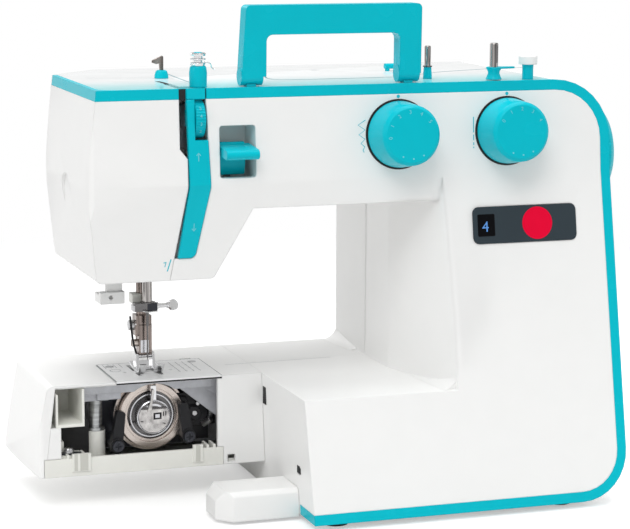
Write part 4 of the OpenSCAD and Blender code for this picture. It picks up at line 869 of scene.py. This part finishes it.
needleSet = {
    "x": -110.0,   # the x values below are measured from here
    "blocks": [   # name, slot, body, finish, bevel, corners
        ("presserStop", "cream_plastic", "presser", None, 0.4, [(-8.2, 34.8, 124.5), (-2.2, 44.6, 131.0)]),
        ("clampCheek", "black_plastic", "needle_unit", "blackMetal", 0.2,
         [(-1.0, 23.8, 121.6), (5.7, 24.5, 126.4)]),
        ("clampEnd", "steel", "needle_unit", None, 0.5, [(-10.4, 24.9, 121.4), (-7.4, 30.5, 125.6)]),
        # the screw's slit, painted as a block of shade
        ("ankleScrewSlitShade", "black_plastic", "presser", "shade", 0,
         [(-8.75, 36.75, 96.6), (-8.3, 37.25, 100.2)]),
        ("ankleFace", "plate_steel", "presser", "paleSteel", 0.05,
         [(-3.3, 33.45, 92.2), (2.2, 33.65, 100.6)]),
        ("ankleBox", "casting", "presser", "brownSteelHighlightStreaks", 0.5, [(-6.6, 34.0, 103.2), (-3.4, 42.0, 112.8)]),
        ("ankleEdge", "chrome", "presser", None, 0, [(-6.7, 33.8, 110.8), (-3.3, 34.2, 111.8)]),
    ],
    "guide": [(-4.8, 27.5, 122.2), (-4.6, 22.9, 121.8), (-1.0, 21.5, 121.2), (3.2, 22.9, 121.1),
              (6.4, 23.9, 121.2)],
    "spring": [(-10.6, 32, 117.2), (-9.8, 32, 109.4), (-8.9, 32.5, 101.4), (-7.6, 33, 96.0),
               (-6.2, 33.5, 92.0)],
    "guideRadius": 0.35, "springRadius": 0.7,
    "sideScrew": [(-8.6, 37, 98.4), (-4.2, 37, 98.4)], "screwRadius": 2.5,
    "pads": [[(-7.1, 27.0, 81.9), (-3.7, 33.0, 82.9)], [(3.7, 27.0, 81.9), (7.1, 33.0, 82.9)]],
}


def addNeedleDetails(s):
    x = s["x"]
    for name, slotName, body, finishName, bevel, corners in s["blocks"]:
        blockPiece(name, slotName, body, [shift(corners, x)], extras.get(finishName), bevel)
    wirePiece("needleGuide", "chrome", "needle_unit", shift(s["guide"], x), s["guideRadius"])
    wirePiece("ankleSpring", "black_plastic", "presser", shift(s["spring"], x), s["springRadius"])
    bm = bmesh.new()
    rod(bm, *shift(s["sideScrew"], x), s["screwRadius"])
    addPiece("ankleSideScrew", "bronze", "presser", bm, bevel=0.3)
    # bright steps on the foot, beside the bar that the ankle snaps on
    pads = [shift(corners, x) for corners in s["pads"]]
    blockPiece("footPads", "chrome", "foot", pads, extras["paleSteel"], bevel=0.3)


addNeedleDetails(needleSet)

plateSet = {
    "z": 80.8, "thick": 0.03, "line": 0.35,
    "guides": [-90.2, -85.6, -81.0, -76.6], "guideEnds": (20.0, 51.0),
    "ticks": (23.0, 32.0, 41.0), "tickHalf": 0.8,
    "leftLines": [-134.0, -130.4, -126.8, -123.0], "leftEnds": (44.0, 55.5),
    "circle": (-129.6, 36.5), "circleRadius": 3.6, "circleLine": 0.5,
    "circleEnd": 337.5,   # degrees; the ring is left open
    "dot": (-103.0, 18.7), "dotRadius": 0.8,
    "notch": [(-79.4, 58.3), (-79.4, 60.6), (-72.0, 60.6)],
    "notchZ": 80.5, "notchLine": 0.9, "notchThick": 0.05,
}


def addPlateMarks(s):
    flat = levelPlace(0, 0, s["z"])
    (low, high), half = s["guideEnds"], s["tickHalf"]
    lines = [[(x, low), (x, high)] for x in s["guides"]]
    lines += [[(x - half, y), (x + half, y)] for x in s["guides"] for y in s["ticks"]]
    lines += [[(x, y) for y in s["leftEnds"]] for x in s["leftLines"]]
    bm = bmesh.new()
    for line in lines:
        plateOn(bm, strip(line, s["line"]), flat, s["thick"])
    circle = arc(s["circleRadius"], 0, s["circleEnd"], 30, *s["circle"])
    plateOn(bm, strip(circle, s["circleLine"]), flat, s["thick"])
    addPiece("plateLines", "plate_steel", "machine", bm, inks["plate"])
    bm = bmesh.new()
    plateOn(bm, disc(s["dotRadius"], 16), levelPlace(*s["dot"], s["z"]), s["thick"])
    plateOn(bm, strip(s["notch"], s["notchLine"]), levelPlace(0, 0, s["notchZ"]), s["notchThick"])
    addPiece("plateDots", "black_plastic", "machine", bm, extras["darkSteel"])


addPlateMarks(plateSet)

plateEdgeSet = {
    "inset": 0.1, "left": 0.8, "side": 0.5, "thick": 0.03, "frontY": (-0.06, -0.01), "frontZ": (78.7, 79.7),
}


def addPlateEdges(s):
    # thin shadows where the plate sits in the bed
    corners = [Vector(c) / mm for c in nodes["needle_plate"].bound_box]
    x0, x1 = min(c.x for c in corners), max(c.x for c in corners)
    y0, y1 = min(c.y for c in corners), max(c.y for c in corners)
    flat = levelPlace(0, 0, plateSet["z"])
    left, right, back = x0 + s["inset"], x1 - s["inset"], y1 - s["inset"]
    bm = bmesh.new()
    plateOn(bm, strip([(left, y0), (left, y1)], s["left"]), flat, s["thick"])
    plateOn(bm, strip([(x0, back), (x1, back)], s["side"]), flat, s["thick"])
    plateOn(bm, strip([(right, y0), (right, y1)], s["side"]), flat, s["thick"])
    addPiece("plateBorder", "plate_steel", "machine", bm, inks["plate"])
    (near, far), (low, high) = s["frontY"], s["frontZ"]
    under = ((x0, y0 + near, low), (x1, y0 + far, high))
    blockPiece("plateUnder", "black_plastic", "machine", [under], extras["shade"])


addPlateEdges(plateEdgeSet)
print("needle, presser and plate detailed")

hookSet = {
    "x": -110.0, "z": 53.5,   # axis of the hook, the race and the bobbin case
    "rims": [   # name, slot, body, y, profile, finish, bevel, steps
        ("raceRim", "bronze", "machine", 26.05,
         [(21.9, 0), (24.0, 0), (24.0, 1.4), (21.9, 1.4), (21.9, 0)], None, 0.2, 48),
        ("hookLip", "steel", "hook", 22.6,
         [(13.7, 0), (14.5, 0), (14.5, 3.4), (13.7, 3.4), (13.7, 0)], "paleSteel", 0, 64),
        ("caseRim", "steel", "case", 14.02,
         [(10.2, 0), (11.2, 0), (11.2, 0.5), (10.6, 0.9), (10.2, 0.5), (10.2, 0)], "paleSteel", 0, 64),
    ],
}


def addHookRims(s):
    for name, slotName, body, y, profile, finishName, bevel, steps in s["rims"]:
        spot = facing(s["x"], y, s["z"])
        turnedPiece(name, slotName, body, profile, spot, extras.get(finishName), bevel, steps)


addHookRims(hookSet)

caseSet = {   # outlines as right and up from the axis, on the case's front at y
    "y": 14.0, "radius": 10.2, "cut": 5.4,
    "layers": {   # how far out of the front each flat piece starts, and how thick it is
        "latchPlate": (0.15, 0.9), "latchFinger": (1.0, 0.9), "latchFold": (0.4, 0.5),
        "latchSlotShade": (1.06, 0.05), "latchWindow": (1.12, 0.06),
        "caseGlint": (0.02, 0.05), "caseShade": (-0.02, 0.04),
    },
    "finger": [(-4.6, 4.0), (-1.6, 4.8), (-1.0, 10.0), (0.2, 17.6), (-0.2, 18.6), (-1.4, 18.4), (-2.4, 11.0)],
    "fold": [(-9.0, 5.6), (8.8, 5.6), (8.2, 6.2), (-8.4, 6.4)],
    "slots": [
        [(-0.4, -1.6), (5.0, -1.4), (5.0, 3.0), (-0.4, 2.8)],
        [(6.0, 0.4), (6.7, 0.5), (6.7, 3.4), (6.0, 3.3)],
        [(7.5, 0.6), (8.2, 0.7), (8.2, 3.6), (7.5, 3.5)],
        [(-9.0, -2.6), (-7.2, -2.8), (-7.2, -2.2), (-9.0, -2.0)],
        [(5.6, -4.4), (7.6, -4.9), (7.7, -4.4), (5.7, -3.9)],
    ],
    "window": [(0.8, -0.6), (3.8, -0.5), (3.8, 1.9), (0.8, 1.8)],
    "glint": (8.0, 52, 124), "glintLine": 1.3, "shadeRadius": 10.1,
}


def layerOf(name):
    # where a flat piece starts on the case's front, and its thickness
    out, thick = caseSet["layers"][name]
    return facing(hookSet["x"], caseSet["y"] - out, hookSet["z"]), thick


def addCaseFront(s):
    # latch plate: a disc cut off above, its folded edge and the leaning finger
    rise = math.degrees(math.asin(s["cut"] / s["radius"]))
    plate = arc(s["radius"], 180 - rise, 360 + rise, 40)
    flatPiece("latchPlate", "steel", "case", plate, *layerOf("latchPlate"), extras["caseSteel"], bevel=0.2)
    finger = flatPiece("latchFinger", "chrome", "case_flap", s["finger"], *layerOf("latchFinger"),
                       extras["caseSteel"], bevel=0.2)
    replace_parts(finger, "case_latch")
    flatPiece("latchFold", "steel", "case", s["fold"], *layerOf("latchFold"), extras["darkSteel"])
    # slots in the plate, painted as shade, and the bright window in the largest
    bm = bmesh.new()
    for outline in s["slots"]:
        plateOn(bm, outline, *layerOf("latchSlotShade"))
    addPiece("latchSlotShade", "black_plastic", "case", bm, extras["shade"])
    flatPiece("latchWindow", "steel", "case", s["window"], *layerOf("latchWindow"), extras["paleSteel"])
    # bright crescent and dark ground on the open upper part
    glint, ground = strip(arc(*s["glint"], 12), s["glintLine"]), disc(s["shadeRadius"])
    flatPiece("caseGlint", "steel", "case", glint, *layerOf("caseGlint"), extras["paleSteel"])
    flatPiece("caseShade", "steel", "case", ground, *layerOf("caseShade"), extras["darkSteel"])


addCaseFront(caseSet)

baySet = {
    "web": [(-93.5, 72.0), (-66.5, 72.0), (-66.5, 50.8), (-68.0, 51.4)], "webY": 20.0, "webThick": 3.6,
    "beams": [((-147.5, 14.0, 66.8), (-131.5, 24.0, 71.6)), ((-156.0, 16.0, 66.0), (-139.0, 28.0, 71.5))],
    "edge": ((-184.5, 3.06, 33.0), (-173.5, 5.6, 53.2)),
    "lumps": [((-92.0, 24.0, 56.0), (-78.0, 30.0, 66.0)), ((-86.0, 22.5, 44.0), (-66.0, 29.0, 57.5)),
              ((-88.0, 25.0, 34.0), (-70.0, 30.0, 46.0))],
    "bosses": [   # start, end, radius
        ((-80.6, 20.6, 52.4), (-80.6, 24.0, 52.4), 4.6), ((-88.0, 22.0, 60.5), (-88.0, 26.0, 60.5), 3.4),
    ],
    "pins": [
        ((-80.6, 20.2, 52.4), (-80.6, 20.8, 52.4), 1.6), ((-70.2, 18.6, 48.4), (-74.6, 22.6, 44.4), 2.2),
        ((-70.0, 19.0, 54.0), (-70.0, 23.0, 47.0), 1.5), ((-78.0, 21.8, 58.4), (-78.0, 22.4, 58.4), 1.3),
    ],
    "shadow": ((-184.0, 19.0, 25.0), (-152.0, 20.0, 54.0)),
    "screwAt": (-167.5, 10.0, 35.2),
    "screw": [(0, 0), (3.4, 0), (3.4, 1.4), (2.6, 3.0), (1.2, 3.7), (0, 3.8)],
    "floor": ((-184.0, 5.7, 32.0), (-158.6, 18.9, 34.0)),
    "bracket": [(-174.5, 9.0), (-170.5, 15.0), (-159.0, 10.4), (-160.5, 6.0), (-164.0, 6.0)],
    "bracketZ": 34.0, "bracketThick": 1.2,
    "gaps": [(-165.4, -163.2), (-161.6, -156.4), (-85.0, -82.0)], "gapY": (2.14, 2.3), "gapZ": (24.6, 35.5),
}


def addBayDetails(s):
    web = facing(0, s["webY"], 0)
    flatPiece("bayWeb", "casting", "machine", s["web"], web, s["webThick"], bevel=0.4)
    blockPiece("bayBeam", "casting", "machine", s["beams"], bevel=0.6)
    blockPiece("bayEdge", "white_shell", "machine", [s["edge"]], bevel=0.3)
    # black mechanism to the right of the race
    bm = bmesh.new()
    for low, high in s["lumps"]:
        block(bm, low, high)
    for start, end, radius in s["bosses"]:
        rod(bm, start, end, radius)
    addPiece("bayBlock", "black_plastic", "machine", bm, bevel=0.6)
    bm = bmesh.new()
    for start, end, radius in s["pins"]:
        rod(bm, start, end, radius)
    addPiece("bayPins", "steel", "machine", bm, bevel=0.2)
    # floor, bracket and screw at the left
    blockPiece("bayShadow", "black_plastic", "machine", [s["shadow"]], extras["shade"])
    turnedPiece("bayScrew", "steel", "machine", s["screw"], levelPlace(*s["screwAt"]), bevel=0.2)
    blockPiece("bayFloor", "cream_plastic", "machine", [s["floor"]], bevel=0.2)
    flatPiece("bayBracket", "black_plastic", "machine", s["bracket"], levelPlace(0, 0, s["bracketZ"]),
              s["bracketThick"], extras["blackMetal"], bevel=0.2)
    # painted shade in the gaps between the prongs of the lip's clips
    (y0, y1), (z0, z1) = s["gapY"], s["gapZ"]
    boxes = [((x0, y0, z0), (x1, y1, z1)) for x0, x1 in s["gaps"]]
    blockPiece("clipGapShade", "cream_plastic", "machine", boxes, extras["creamShade"])


addBayDetails(baySet)
print("hook compartment detailed")

coverSet = {
    "bedZ": 80.5, "bedSeam": [(-56.0, 34.0), (-40.0, 34.4), (18.7, 36.0)], "seamLine": 0.5, "seamThick": 0.04,
    "tableSlot": ((-39.75, -4.6, 60.6), (-39.35, 1.5, 72.0)),
    "tableHole": ((-38.2, -72.0, 30.6), (-37.75, -64.6, 36.0)),
}


def addCoverLines(s):
    flat, seam = levelPlace(0, 0, s["bedZ"]), s["bedSeam"]
    linePiece("bedSeam", "white_shell", "machine", seam, s["seamLine"], flat, inks["grey"], s["seamThick"])
    blockPiece("tableSlotShade", "black_plastic", "machine", [s["tableSlot"]], extras["shade"])
    blockPiece("tableHoleShade", "black_plastic", "machine", [s["tableHole"]], extras["shade"])


addCoverLines(coverSet)

columnFootSet = {
    "z": 80.5, "line": [(63.0, -81.0), (50.4, 54.4), (44.9, 96.4)], "radii": [10.0, 12.0],
    "behind": 0.6, "under": 0.2,   # how far it reaches into the column and the bed
}


def addColumnFoot(s):
    # hollow blend between the bed and the foot of the column
    up = Vector((0, 0, 1))
    for i, r in enumerate(s["radii"]):
        start, end = (Vector((x, y, s["z"])) for x, y in s["line"][i:i + 2])
        along = (end - start).normalized()
        left = up.cross(along)
        place = Matrix((left, up, along)).transposed().to_4x4()
        place.translation = start * mm
        hidden = [(-s["behind"], r), (-s["behind"], -s["under"]), (r, -s["under"])]
        outline = hidden + arc(r, 270, 180, 12, r, r)
        flatPiece(f"columnFoot{i}", "white_shell", "machine", outline, place, (end - start).length)


addColumnFoot(columnFootSet)

backSet = {
    "y": 97.0, "screws": [(-60.0, 210.0), (150.0, 240.0), (150.0, 30.0), (-20.0, 30.0), (60.0, 130.0)],
    "wellRadius": 4.4, "wellThick": 0.05, "head": [(0, 0), (3.1, 0), (3.1, 0.5), (2.2, 1.1), (0, 1.3)],
    "crossOut": 1.2, "crossHalf": 1.5, "crossLine": 0.5, "crossThick": 0.12, "crossTurns": (20, 110),
}


def addBackScrews(s):
    well = disc(s["wellRadius"], 32)
    bar = strip([(-s["crossHalf"], 0), (s["crossHalf"], 0)], s["crossLine"])
    for i, (x, z) in enumerate(s["screws"]):
        wall = facing(x, s["y"], z, "back")
        # a disc of painted shade round each head, and its cross recess painted as shade
        flatPiece(f"screwWellShade{i}", "black_plastic", "machine", well, wall, s["wellThick"], extras["shade"])
        turnedPiece(f"backScrew{i}", "steel", "machine", s["head"], wall, steps=32)
        bm = bmesh.new()
        for turn in s["crossTurns"]:
            place = facing(x, s["y"] + s["crossOut"], z, "back") @ Matrix.Rotation(math.radians(turn), 4, "Z")
            plateOn(bm, bar, place, s["crossThick"])
        addPiece(f"backScrewCrossShade{i}", "black_plastic", "machine", bm, extras["shade"])


addBackScrews(backSet)

ventSet = {
    "x": (70.0, 140.0), "z": (34.0, 62.0), "rows": 6, "columns": 2,
    "between": 4, "half": 1.1, "corner": 1.05, "thick": 0.06,
}


def addVents(s):
    (x0, x1), (z0, z1) = s["x"], s["z"]
    wide, high = (x1 - x0) / s["columns"], (z1 - z0) / s["rows"]
    end = (wide - s["between"]) / 2
    # the vent openings, painted as flat plates of shade
    bm = bmesh.new()
    for row in range(s["rows"]):
        for column in range(s["columns"]):
            place = facing(x0 + wide * (column + 0.5), backSet["y"], z0 + high * (row + 0.5), "back")
            plateOn(bm, roundBox(-end, -s["half"], end, s["half"], s["corner"]), place, s["thick"])
    addPiece("backVentShade", "black_plastic", "machine", bm, extras["shade"])


addVents(ventSet)

switchSet = {"place": (178.7, 56.0, 61.0), "ends": [(-2.0, 0), (2.0, 0)], "line": 0.6}


def addSwitchMark(s):
    place = facing(*s["place"], "right")
    linePiece("switchBar", "black_plastic", "switch", s["ends"], s["line"], place, inks["white"])


addSwitchMark(switchSet)
print("covers and back detailed")
